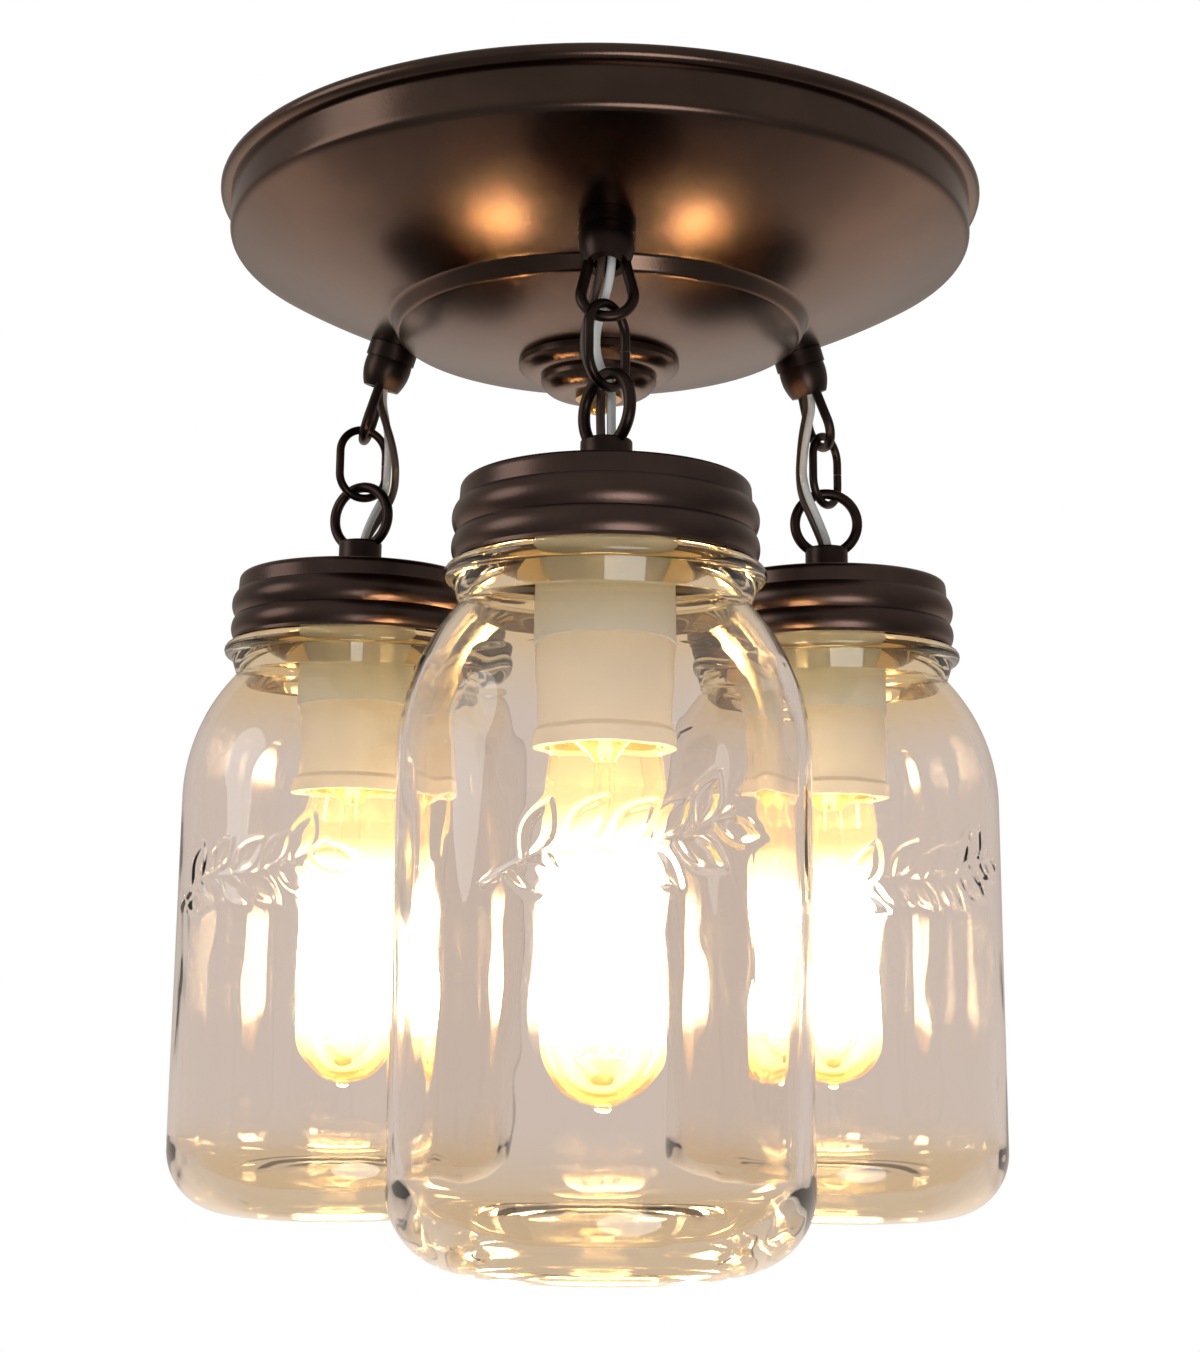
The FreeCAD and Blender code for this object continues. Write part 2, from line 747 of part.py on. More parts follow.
def make_jar(name):
    shoulder_centre = "(body_radius - shoulder_round)"
    neck = f"sqrt(shoulder_round^2 - (neck_radius - {shoulder_centre})^2) - shoulder_drop"
    inner_round = "(shoulder_round - jar_wall)"
    inner_neck = f"sqrt({inner_round}^2 - (neck_bore - {shoulder_centre})^2) - shoulder_drop"
    foot = "(body_radius - heel_round - foot_land)"
    floor = "base_thickness - jar_height"
    heel_inside = "heel_round - jar_wall"
    jar = lathe(f"jar_{name}", [
        ("mouth_radius + rim_round", "0"),
        ("finish_radius - rim_round", "0", "rim_round", CW),
        ("finish_radius", "-rim_round"),
        ("finish_radius", "bead_half - bead_drop"),
        ("bead_radius - bead_half", "bead_half - bead_drop", "bead_half", CW),
        ("bead_radius", "-bead_drop", "bead_half", CW),
        ("bead_radius - bead_half", "-bead_half - bead_drop"),
        ("neck_radius", "-bead_half - bead_drop"),
        ("neck_radius", neck, "shoulder_round", CW),
        ("body_radius", "-shoulder_drop"),
        ("body_radius", "heel_round - jar_height", "heel_round", CW),
        ("body_radius - heel_round", "-jar_height"),
        (foot, "-jar_height"),
        (f"{foot} - push_up_run", "push_up - jar_height"),
        ("0", "push_up - jar_height"),
        ("0", floor),
        ("body_radius - heel_round", floor, heel_inside, CCW),
        ("body_radius - jar_wall", f"{floor} + {heel_inside}"),
        ("body_radius - jar_wall", "-shoulder_drop", inner_round, CCW),
        ("neck_bore", inner_neck),
        ("mouth_radius", "-bead_drop"),
        ("mouth_radius", "-rim_round", "rim_round", CW),
    ])
    keep(place(jar, *on_pendant(name, f"{LID_TOP} - disc_thickness - seal_gap")), f"jar_{name}")


# Heights in the lamp holder and bulb, measured down from the lid.
CAP_FOOT = "(socket_drop + cap_length)"
TERMINALS = "(socket_drop + terminal_drop)"
SOCKET_FOOT = "(socket_drop + socket_length)"
SHELL_TOP = f"({CAP_FOOT} + socket_floor + socket_fit)"
BASE_TOP = f"({SHELL_TOP} + shell_thickness + base_tip_gap)"
BASE_RADIUS = "(shell_radius - base_clearance)"
BASE_FOOT = f"({SOCKET_FOOT} - base_short)"
GLASS_TIP = f"({SOCKET_FOOT} + glass_length)"
NECK_RADIUS = f"({BASE_RADIUS} - bulb_base_thickness - glass_fit)"


def make_socket(name):
    hole = "nipple_radius + thread_clearance"
    cap_bore = "cap_radius - cap_wall"
    cap = lathe(f"socket_cap_{name}", [
        (hole, "-socket_drop"),
        ("cap_radius - cap_round", "-socket_drop", "cap_round", CW),
        ("cap_radius", "-socket_drop - cap_round"),
        ("cap_radius", f"-{CAP_FOOT}"),
        (cap_bore, f"-{CAP_FOOT}"),
        (cap_bore, "-socket_drop - cap_wall"),
        (hole, "-socket_drop - cap_wall"),
    ])
    keep(place(cap, *on_pendant(name, LID_TOP)), f"socket_cap_{name}")
    plug = f"{cap_bore} - socket_fit"
    bore_radius = "shell_radius + shell_thickness + socket_fit"
    body = lathe(f"socket_body_{name}", [
        ("0", f"-{TERMINALS}"),
        (plug, f"-{TERMINALS}"),
        (plug, f"-{CAP_FOOT}"),
        ("socket_radius", f"-{CAP_FOOT}"),
        ("socket_radius", f"socket_rim_height + socket_rim_slope - {SOCKET_FOOT}"),
        ("socket_rim_radius", f"socket_rim_height - {SOCKET_FOOT}"),
        ("socket_rim_radius", f"-{SOCKET_FOOT}"),
        (bore_radius, f"-{SOCKET_FOOT}"),
        (bore_radius, f"-{CAP_FOOT} - socket_floor"),
        ("0", f"-{CAP_FOOT} - socket_floor"),
    ])
    keep(place(body, *on_pendant(name, LID_TOP)), f"socket_body_{name}")
    shell = lathe(f"socket_shell_{name}", [
        ("contact_hole_radius", f"-{SHELL_TOP}"),
        ("shell_radius + shell_thickness", f"-{SHELL_TOP}"),
        ("shell_radius + shell_thickness", f"shell_short - {SOCKET_FOOT}"),
        ("shell_radius", f"shell_short - {SOCKET_FOOT}"),
        ("shell_radius", f"-{SHELL_TOP} - shell_thickness"),
        ("contact_hole_radius", f"-{SHELL_TOP} - shell_thickness"),
    ])
    keep(place(shell, *on_pendant(name, LID_TOP)), f"socket_shell_{name}")


def make_bulb(name):
    rim = f"{BASE_TOP} + base_tip_height + base_cone_height"
    inside = f"{BASE_RADIUS} - bulb_base_thickness"
    base = lathe(f"bulb_base_{name}", [
        ("0", f"-{BASE_TOP}"),
        ("base_tip_radius", f"-{BASE_TOP}"),
        ("base_tip_radius", f"-{BASE_TOP} - base_tip_height"),
        (BASE_RADIUS, f"-({rim})"),
        (BASE_RADIUS, f"-{BASE_FOOT}"),
        (inside, f"-{BASE_FOOT}"),
        (inside, f"-({rim}) - bulb_base_thickness"),
        ("0", f"-({rim}) - bulb_base_thickness"),
    ])
    keep(place(base, *on_pendant(name, LID_TOP)), f"bulb_base_{name}")

    neck_top = f"glass_overlap - {BASE_FOOT}"
    shoulder = f"-{BASE_FOOT} - glass_flare"
    dome_top = f"glass_radius - {GLASS_TIP}"
    inner = "(glass_radius - glass_wall)"
    inner_neck = f"{NECK_RADIUS} - glass_wall"
    nib = "sqrt(glass_radius^2 - nib_radius^2)"
    glass = lathe(f"bulb_glass_{name}", [
        (inner_neck, neck_top),
        (NECK_RADIUS, neck_top),
        (NECK_RADIUS, f"-{BASE_FOOT}"),
        ("glass_radius", shoulder),
        ("glass_radius", dome_top, "glass_radius", CW),
        ("nib_radius", f"{dome_top} - {nib}"),
        ("nib_radius", f"-{GLASS_TIP} - nib_length + nib_radius / 2", "nib_radius", CW),
        ("0", f"-{GLASS_TIP} - nib_length"),
        ("0", f"glass_wall - {GLASS_TIP}", inner, CCW),
        (inner, dome_top),
        (inner, shoulder),
        (inner_neck, f"-{BASE_FOOT}"),
    ])
    keep(place(glass, *on_pendant(name, LID_TOP)), f"bulb_glass_{name}")

    flare = f"{inner_neck} - flare_fit"
    press = f"{neck_top} - flare_height"
    strands_top = f"(-{SOCKET_FOOT} - cage_top)"
    strands_foot = f"({strands_top} - cage_length)"
    chord_half = f"(cage_radius * sin(180 / {CAGE_STRANDS}))"
    bend_out = f"(cage_radius * cos(180 / {CAGE_STRANDS}))"
    hook_length = f"{bend_out} - cage_wire / 2 - hook_gap"
    mount = lathe(f"bulb_mount_{name}", [
        ("0", neck_top),
        (flare, neck_top),
        ("stem_rod_radius", press),
        ("stem_rod_radius", f"{press} - stem_rod_length"),
        ("mount_rod_radius", f"{press} - stem_rod_length - stem_rod_radius"),
        ("mount_rod_radius", f"{strands_foot} - {chord_half} - hook_wire"),
        ("0", f"{strands_foot} - {chord_half} - hook_wire"),
    ])
    # a ring of wire hooks at each end of the rod holds the filament's bends
    upper = f"{strands_top} + {chord_half}"
    lower = f"{strands_foot} - {chord_half}"
    for end, height, behind in (("top", upper, True), ("foot", lower, False)):
        section = new_sketch(mount, "YZ_Plane", f"hook_{end}_{name}_section")
        draw_circle(section, "0", height, "hook_wire / 2")
        hook = mount.newObject("PartDesign::Pad", f"hook_{end}_{name}")
        hook.Profile = section
        hook.setExpression("Length", bound(hook_length))
        hook.Reversed = behind
        ring = mount.newObject("PartDesign::PolarPattern", f"hooks_{end}_{name}")
        ring.Originals = [hook]
        ring.Axis = (next(f for f in mount.Origin.OriginFeatures if f.Role == "Z_Axis"), [""])
        ring.Angle = 360
        ring.Occurrences = HOOKS
        mount.Tip = ring
    keep(place(mount, *on_pendant(name, LID_TOP)), f"bulb_mount_{name}")

    make_filament(name, value(strands_top), value(strands_foot), value(chord_half))


def make_filament(name, top, foot, bend):
    """One wire, up and down in a ring of straight strands joined by half-round bends."""
    step = 360 / CAGE_STRANDS
    radius = value("cage_radius")
    bearings = [math.radians(step * (i + 0.5)) for i in range(CAGE_STRANDS)]
    feet = [FreeCAD.Vector(radius * math.cos(a), radius * math.sin(a), 0) for a in bearings]
    # the ends are at the top, either side of the bearing that points backwards
    start = CAGE_STRANDS // 2
    edges = []
    for i in range(CAGE_STRANDS):
        here = feet[(start + i) % CAGE_STRANDS]
        after = feet[(start + i + 1) % CAGE_STRANDS]
        down = i % 2 == 0
        first, last = (top, foot) if down else (foot, top)
        strand = [here + FreeCAD.Vector(0, 0, height) for height in (first, last)]
        edges.append(Part.LineSegment(*strand).toShape())
        if i < CAGE_STRANDS - 1:
            middle = (here + after) / 2 + FreeCAD.Vector(0, 0, last - bend if down else last + bend)
            ends = [p + FreeCAD.Vector(0, 0, last) for p in (here, after)]
            edges.append(Part.Arc(ends[0], middle, ends[1]).toShape())
    path = Part.Wire(edges)
    begin = feet[start] + FreeCAD.Vector(0, 0, top)
    section = Part.Wire(Part.Circle(begin, FreeCAD.Vector(0, 0, 1), value("cage_wire / 2")).toShape())
    filament = doc.addObject("Part::Feature", f"bulb_filament_{name}")
    filament.Shape = path.makePipeShell([section], True, False)
    keep(place(filament, *on_pendant(name, LID_TOP)), f"bulb_filament_{name}")


# Leads: each runs from its wire nut, down a cup's stem, past the chain on the side towards
# the light's axis, through the ring's collar and the nipple, to the lamp holder's terminals.

# inside the canopy, from the light's axis: the points between the nut and the stem
INSIDE = {
    ("front", "white"): [
        (0.72, 22.74, -28), (7, 13, -33), (13, -2, -34),
        (14, -20, -31), (8, -37, -24), (3, -50, -14),
    ],
    ("front", "brown"): [(0, -25.45, -26), (-0.6, -34, -34.5), (-2, -44, -28), (-2.2, -53, -17.5)],
    ("left", "white"): [(-1.45, 24, -27), (-13, 26, -31), (-29, 25, -24), (-43.5, 27, -13.5)],
    ("left", "brown"): [
        (-1.26, -23.27, -29), (-13, -10, -30), (-27, 5, -26),
        (-39, 17.5, -19), (-47.5, 26, -14),
    ],
    ("right", "white"): [(0.72, 25.26, -27), (13, 27.5, -31), (29, 26, -24), (43, 24.5, -12)],
    ("right", "brown"): [
        (1.26, -23.27, -29), (13, -10, -30), (26, 5, -28),
        (36.5, 17, -24.5), (45, 27.5, -18),
    ],
}
# outside, from the point where the loop carries the link
OUTSIDE = {
    ("front", "white"): [
        (-1.2, 6.9, 4.2), (-2.8, 7.3, -2.8), (-2, 7.6, -9.4),
        (1.5, 7.6, -15.9), (1.2, 4.3, -22.8),
    ],
    ("front", "brown"): [
        (-4, 7.2, 4.2), (-5.6, 7.6, -2.8), (-4.8, 7.9, -9.4),
        (-1.1, 7.9, -15.9), (-1.4, 4.5, -22.8),
    ],
    ("left", "white"): [
        (6.9, -2.2, 4.2), (7.6, -2.5, -2.8), (7.4, -2, -9.4),
        (7, 0.4, -15.9), (3.5, -0.8, -22.8),
    ],
    ("left", "brown"): [
        (6.7, -5, 4.2), (9, -4.8, -2.8), (10, -2.4, -9.4),
        (9.2, 2.2, -15.9), (5.4, 2.1, -22.8),
    ],
    ("right", "white"): [
        (-5.6, -3.4, 4.2), (-6.6, -3, -2.8), (-7.2, -3.7, -9.4),
        (-6.2, -5.5, -15.9), (-2.8, -3.9, -22.8),
    ],
    ("right", "brown"): [
        (-6.8, -0.8, 4.2), (-7.5, -0.2, -2.8), (-7.9, -0.9, -9.4),
        (-7.5, -2.8, -15.9), (-4.2, -1.5, -22.8),
    ],
}
# which side of the stem each lead takes, seen from the axis, and its bearing in the ring's collar
STEM_SIDE = {"front": 1, "left": -1, "right": -1}
COLLAR_BEARING = {"front": 0, "left": -90, "right": -60}
NUT_GRIP = 5  # how far a lead goes into its wire nut
COLLAR_DROPS = (31.2, 40.8, 51.8)  # below the loop's wire, on the way through the collar and nipple
COLLAR_SWAYS = (0.5, 0.2, -0.2)
STEM_HEIGHTS = (14, 2, -15)  # along the cup's axis from the dish
STEM_SWAYS = (0, 0.3, 0)


def lead_points(name, colour):
    side = 1 if colour == "white" else -1
    nut = FreeCAD.Vector(0, side * value("wire_nut_offset"), -value("wire_nut_mouth_depth"))
    inside = [FreeCAD.Vector(*p) for p in INSIDE[name, colour]]
    points = [FreeCAD.Vector(inside[0].x, inside[0].y, nut.z + NUT_GRIP)] + inside

    bearing = math.radians(value(f"{name}_angle"))
    out = FreeCAD.Vector(math.cos(bearing), math.sin(bearing), 0)
    along = FreeCAD.Vector(-out.y, out.x, 0)
    lean = math.radians(value(LEAN))
    axis = FreeCAD.Vector(0, 0, math.cos(lean)) - out * math.sin(lean)
    seat = out * value("seat_radius") + FreeCAD.Vector(0, 0, value(dome("seat_radius")))
    apart = value("lead_pitch") / 2
    for height, sway in zip(STEM_HEIGHTS, STEM_SWAYS):
        points.append(seat + axis * height + along * (apart * side * STEM_SIDE[name]) + out * sway)

    hang = out * value(PIVOT_RADIUS) + FreeCAD.Vector(0, 0, value(PIVOT_HEIGHT))
    points += [hang + FreeCAD.Vector(*p) for p in OUTSIDE[name, colour]]
    turn = math.radians(COLLAR_BEARING[name])
    across = FreeCAD.Vector(math.cos(turn), math.sin(turn), 0) * (apart * side)
    sideways = FreeCAD.Vector(-math.sin(turn), math.cos(turn), 0)
    for drop, sway in zip(COLLAR_DROPS, COLLAR_SWAYS):
        points.append(hang + across + sideways * sway - FreeCAD.Vector(0, 0, drop))
    end = hang + across
    end.z = value(f"{LID_TOP} - {TERMINALS} + seat_gap")
    return points + [end]


def tube(points, diameter):
    """A round tube on straight runs joined by the largest tangent arcs that fit."""
    edges = []
    radii = []
    begin = points[0]
    for before, corner, after in zip(points, points[1:], points[2:]):
        arrive, leave = corner - before, after - corner
        setback = 0.45 * min(arrive.Length, leave.Length)
        turn = arrive.getAngle(leave)
        radii.append(setback / math.tan(turn / 2))
        arrive.normalize()
        leave.normalize()
        first, last = corner - arrive * setback, corner + leave * setback
        inward = (leave - arrive).normalize()
        middle = corner + inward * (radii[-1] / math.cos(turn / 2) - radii[-1])
        edges.append(Part.LineSegment(begin, first).toShape())
        edges.append(Part.Arc(first, middle, last).toShape())
        begin = last
    edges.append(Part.LineSegment(begin, points[-1]).toShape())
    path = Part.Wire(edges)
    heading = points[1] - points[0]
    section = Part.Wire(Part.Circle(points[0], heading, diameter / 2).toShape())
    solid = path.makePipeShell([section], True, False)
    share = solid.Volume / (math.pi * diameter**2 / 4 * path.Length)
    print(f"  length {path.Length:.1f}, least radius {min(radii):.1f}")
    print(f"  volume over section times length {share:.4f}")
    return solid


def make_lead(name, colour):
    label = f"wire_{colour}_{name}"
    print(label)
    lead = doc.addObject("Part::Feature", label)
    lead.Shape = tube(lead_points(name, colour), value("lead_diameter"))
    keep(lead, label)


make_crossbar()
make_ground_screw()
make_centre_stud()
make_canopy()
make_lock_nuts()
make_bell_cap()
make_finial_knob()
make_wire_nuts()
for pendant in PENDANTS:
    make_canopy_loop(pendant)
    make_chain_link(pendant)
    make_lid_ring(pendant)
    make_lid_fixing(pendant)
    make_lid_disc(pendant)
    make_lid_band(pendant)
    make_jar(pendant)
    make_socket(pendant)
    make_bulb(pendant)
    make_lead(pendant, "white")
    make_lead(pendant, "brown")

doc.recompute()
for thing in doc.Objects:
    if "Invalid" in thing.State or "Error" in thing.State:
        raise RuntimeError(f"{thing.Label} failed: {thing.State}")
for node in nodes:
    if node.Shape.isNull() or not node.Shape.isValid() or not node.Shape.Solids:
        raise RuntimeError(f"{node.Label} has no valid solid")

os.makedirs("parts", exist_ok=True)
for node in nodes:
    node.Shape.exportStep(os.path.join("parts", f"{node.Label}.step"))
print(f"{len(nodes)} sub-parts")
for title, expression in (("pivot radius", PIVOT_RADIUS), ("pivot height", PIVOT_HEIGHT),
                          ("link bottom", LINK_BOTTOM), ("lid top", LID_TOP)):
    print(f"{title} {value(expression):.4f}")
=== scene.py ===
import math

import bpy
import numpy
from mathutils import Matrix, Vector, noise


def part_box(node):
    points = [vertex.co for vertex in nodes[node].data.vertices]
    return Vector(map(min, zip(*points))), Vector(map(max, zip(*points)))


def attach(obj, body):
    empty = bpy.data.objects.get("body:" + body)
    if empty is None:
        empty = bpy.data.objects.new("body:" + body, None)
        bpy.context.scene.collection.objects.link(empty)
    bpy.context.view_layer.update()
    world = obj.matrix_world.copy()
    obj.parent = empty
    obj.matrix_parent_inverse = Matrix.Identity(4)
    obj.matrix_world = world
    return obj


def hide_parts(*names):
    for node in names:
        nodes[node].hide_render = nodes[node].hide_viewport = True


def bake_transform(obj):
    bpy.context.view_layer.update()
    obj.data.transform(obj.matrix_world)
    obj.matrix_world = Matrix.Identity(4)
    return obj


# A semi-flush ceiling light: a bronze canopy with three canning jars on short chains.
# Metres, in the frame of the CAD model; the sizes of the pieces are written in millimetres.
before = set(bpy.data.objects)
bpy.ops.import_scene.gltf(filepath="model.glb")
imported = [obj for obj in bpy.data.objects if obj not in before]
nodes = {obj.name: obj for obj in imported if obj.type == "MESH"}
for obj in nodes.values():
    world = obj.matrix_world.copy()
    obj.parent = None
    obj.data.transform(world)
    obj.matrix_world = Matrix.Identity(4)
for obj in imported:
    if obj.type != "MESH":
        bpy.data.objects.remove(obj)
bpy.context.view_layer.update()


# Ceiling strap: zinc-plated steel with a threaded stud and nuts, screwed to the ceiling box,
# with a green ground screw and two twist-on connectors of tan plastic. The canopy hides all
# of it from below.
class Shade:
    """An output of a node tree that takes part in sums."""

    def __init__(self, tree, socket=None):
        self.tree = tree
        self.socket = socket

    def node(self, kind, settings=None, sockets=None, output=0):
        """A new node, with its settings and inputs, read at one of its outputs."""
        made = self.tree.nodes.new(f"ShaderNode{kind}")
        for name, setting in (settings or {}).items():
            if name == "stops":
                set_stops(made.color_ramp.elements, setting)
            else:
                setattr(made, name, setting)
        for name, given in (sockets or {}).items():
            if isinstance(given, Shade):
                self.tree.links.new(given.socket, made.inputs[name])
            else:
                made.inputs[name].default_value = given
        return Shade(self.tree, made.outputs[output]) if made.outputs else None

    def maths(self, operation, first, second):
        return self.node("Math", {"operation": operation}, {0: first, 1: second})

    def __add__(self, other):
        return self.maths("ADD", self, other)

    __radd__ = __add__

    def __mul__(self, other):
        return self.maths("MULTIPLY", self, other)

    __rmul__ = __mul__

    def __sub__(self, other):
        return self.maths("SUBTRACT", self, other)

    def __rsub__(self, other):
        return self.maths("SUBTRACT", other, self)

    def __truediv__(self, other):
        return self.maths("DIVIDE", self, other)

    def __rtruediv__(self, other):
        return self.maths("DIVIDE", other, self)


def set_stops(elements, stops):
    """Fill a new ramp, which starts out with two elements."""
    for i, (place, colour) in enumerate(stops):
        element = elements[i] if i < 2 else elements.new(place)
        element.position = place
        element.color = (*colour, 1)


def blank_tree(owner):
    """The emptied node tree of a material or a world."""
    owner.use_nodes = True
    owner.node_tree.nodes.clear()
    return Shade(owner.node_tree)


def new_material(name):
    material = bpy.data.materials.new(name)
    return material, blank_tree(material)


def surface(material, sockets):
    """Finish a material with one principled shader."""
    start = Shade(material.node_tree)
    shader = start.node("BsdfPrincipled", sockets=sockets)
    start.node("OutputMaterial", sockets={"Surface": shader})
    return material


def ramp(factor, stops):
    """A colour for each place along a factor."""
    return factor.node("ValToRGB", {"stops": stops}, {"Fac": factor}, output="Color")


def cloud(start, scale, detail=3):
    """Soft noise in the object's own space, from 0 to 1."""
    place = start.node("TexCoord", output="Object")
    return start.node("TexNoise", sockets={"Vector": place, "Scale": scale, "Detail": detail}, output="Fac")


PATCH_DARK, PATCH_LIGHT = 0.3, 0.7


def mottled(patches, dark, light):
    """A colour that wanders between two in patches."""
    return ramp(patches, [(PATCH_DARK, dark), (PATCH_LIGHT, light)])


GRAIN_STRENGTH = 0.6


def grain_bump(start, scale, depth):
    """A fine grain of the given depth in metres."""
    grain = cloud(start, scale, detail=2)
    heights = {"Height": grain, "Distance": depth, "Strength": GRAIN_STRENGTH}
    return start.node("Bump", sockets=heights, output="Normal")


METAL_GRAIN, METAL_GRAIN_DEPTH = 1500, 0.00003
METAL_UNEVEN = 0.12


def metal(name, dark, light, roughness, patch=30):
    """Metal that wanders between two colours in patches, with a satin grain."""
    material, start = new_material(name)
    patches = cloud(start, patch, detail=4)
    return surface(material, {
        "Base Color": mottled(patches, dark, light),
        "Metallic": 1.0,
        "Roughness": roughness + METAL_UNEVEN * (patches - 0.5),
        "Normal": grain_bump(start, METAL_GRAIN, METAL_GRAIN_DEPTH),
    })


PLASTIC_PATCH = 60
PLASTIC_GRAIN, PLASTIC_GRAIN_DEPTH = 2500, 0.00002
PLASTIC_UNEVEN = 0.1


def plastic_finish(start, dark, light, roughness, coat=0.0):
    """The inputs of moulded plastic, a little uneven in colour and gloss."""
    patches = cloud(start, PLASTIC_PATCH)
    return {
        "Base Color": mottled(patches, dark, light),
        "Roughness": roughness + PLASTIC_UNEVEN * (patches - 0.5),
        "Coat Weight": coat,
        "Normal": grain_bump(start, PLASTIC_GRAIN, PLASTIC_GRAIN_DEPTH),
    }


def plastic(name, dark, light, roughness):
    material, start = new_material(name)
    return surface(material, plastic_finish(start, dark, light, roughness))


def paint(material, *names):
    """Give nodes of the CAD model a material."""
    for name in names:
        nodes[name].data.materials.clear()
        nodes[name].data.materials.append(material)


zinc = metal("zinc plate", dark=(0.42, 0.42, 0.40), light=(0.60, 0.59, 0.55), roughness=0.34, patch=120)
green_plate = metal("green plate", dark=(0.03, 0.16, 0.06), light=(0.05, 0.24, 0.09), roughness=0.35)
tan_plastic = plastic("tan plastic", dark=(0.46, 0.28, 0.11), light=(0.52, 0.33, 0.14), roughness=0.42)
paint(zinc, "crossbar", "centre_stud", "lock_nuts")
paint(green_plate, "ground_screw")
paint(tan_plastic, "wire_nuts")


# Canopy: a dish spun from one sheet, with a rolled lip, a short side and a stepped middle,
# in oil-rubbed bronze with a satin grain. It is turned here with finer facets than the
# solid's, open in the middle for the stud, and drilled for the stems of three cups.
MM = 0.001
PENDANTS = ("front", "left", "right")
BEARINGS = {"front": 270, "left": 150, "right": 30}
SIDE_RADIUS = 102.5
SIDE_DEPTH = 15
CORNER = 3
LIP_OVERHANG = 3
LIP_HEIGHT = 4.5
CANOPY_WALL = 1
DISH_RADIUS = 200
DISH_CENTRE = math.sqrt(DISH_RADIUS ** 2 - SIDE_RADIUS ** 2) - SIDE_DEPTH
STEP_RADIUS = 58
STEP_RUN = 1.8
STEP_DEPTH = 3.5
STEP_ROUND = 0.7
STUD_HOLE = 3.25
SEAT_RADIUS = 68.75
STEM_HOLE = 5.12
DRILL_TIP = 0.001
DRILL_REACH = 6 * CANOPY_WALL
ROW, STEP_ROW = 0.8, 0.3
ARC_STEPS, EASE_STEPS = 6, 8
CANOPY_COLUMNS, HOLE_SIDES = 240, 48
CANOPY_SHARP = 40


def run(start, end, row=ROW):
    """Points along a straight stretch, without its end."""
    count = max(1, round(math.dist(start, end) / row))
    return [tuple(a + (b - a) * i / count for a, b in zip(start, end)) for i in range(count)]


def bend(centre, radius, start, end):
    """Points along an arc, from one angle to another in degrees."""
    count = max(ARC_STEPS, round(abs(math.radians(end - start)) * radius / ROW))
    angles = [math.radians(start + (end - start) * i / count) for i in range(count + 1)]
    return [(centre[0] + radius * math.cos(a), centre[1] + radius * math.sin(a)) for a in angles]


def dish_arc(sphere, start, end):
    """Points along a sphere about the dish's centre, between two distances from the axis."""
    angles = [-math.degrees(math.acos(radius / sphere)) for radius in (start, end)]
    return bend((0, DISH_CENTRE), sphere, *angles)


def eased(line, corner, reach):
    """A line of points with the angle at one of them rounded off."""
    at = min(range(len(line)), key=lambda i: math.dist(line[i], corner))
    before = [p for p in line[:at] if math.dist(p, corner) > reach]
    after = [p for p in line[at + 1:] if math.dist(p, corner) > reach]
    (x0, y0), (x1, y1), (x2, y2) = before[-1], corner, after[0]
    turn = []
    for i in range(1, EASE_STEPS):
        t = i / EASE_STEPS
        a, b, c = (1 - t) ** 2, 2 * t * (1 - t), t * t
        turn.append((a * x0 + b * x1 + c * x2, a * y0 + b * y1 + c * y2))
    return before + turn + after


def dish_side(wall):
    """One face of the canopy from its side to the stud hole, set in by a thickness of wall."""
    across, reach = SIDE_RADIUS - CORNER, DISH_RADIUS - CORNER
    turn = (across, DISH_CENTRE - math.sqrt(reach ** 2 - across ** 2))
    tangent = -math.degrees(math.acos(across / reach))
    sphere, middle = DISH_RADIUS - wall, DISH_RADIUS + STEP_DEPTH - wall
    outer, inner = STEP_RADIUS - wall, STEP_RADIUS - STEP_RUN - wall
    dish = dish_arc(sphere, sphere * math.cos(math.radians(tangent)), outer)
    centre = dish_arc(middle, inner, STUD_HOLE)
    line = bend(turn, CORNER - wall, 0, tangent) + dish[1:]
    line += run(dish[-1], centre[0], STEP_ROW)[1:] + centre
    return eased(eased(line, dish[-1], STEP_ROUND), centre[0], STEP_ROUND)


def canopy_outline():
    """Half section of the canopy: the lip, down the outside and back up the inside."""
    lip = LIP_HEIGHT / 2
    bore = SIDE_RADIUS - CANOPY_WALL
    outer, inner = dish_side(0), dish_side(CANOPY_WALL)[::-1]
    outside = bend((SIDE_RADIUS + LIP_OVERHANG - lip, -lip), lip, 90, -90)
    outside += run((SIDE_RADIUS, -LIP_HEIGHT), outer[0]) + outer
    return outside + inner + run(inner[-1], (bore, 0))[1:] + [(bore, 0)]


def placed(name, data):
    """A new object in the scene."""
    made = bpy.data.objects.new(name, data)
    bpy.context.scene.collection.objects.link(made)
    return made


def meshed(name, points, rings, columns):
    """A new piece from rings of points, each joined to the next and the last to the first."""
    faces = []
    for upper, lower in zip(rings, rings[1:] + rings[:1]):
        for i in range(columns):
            j = (i + 1) % columns
            round_face = ((upper, i), (lower, i), (lower, j), (upper, j))
            corners = list(dict.fromkeys(ring[k % len(ring)] for ring, k in round_face))
            if len(corners) > 2:
                faces.append(corners)
    mesh = bpy.data.meshes.new(name)
    mesh.from_pydata(points, [], faces)
    return placed(name, mesh)


def turned(name, outline, columns):
    """A piece turned about the Z axis from a closed half section."""
    turns = [2 * math.pi * i / columns for i in range(columns)]
    points = [Vector((r * math.cos(a), r * math.sin(a), z)) * MM for r, z in outline for a in turns]
    rings = [range(i * columns, (i + 1) * columns) for i in range(len(outline))]
    return meshed(name, points, rings, columns)


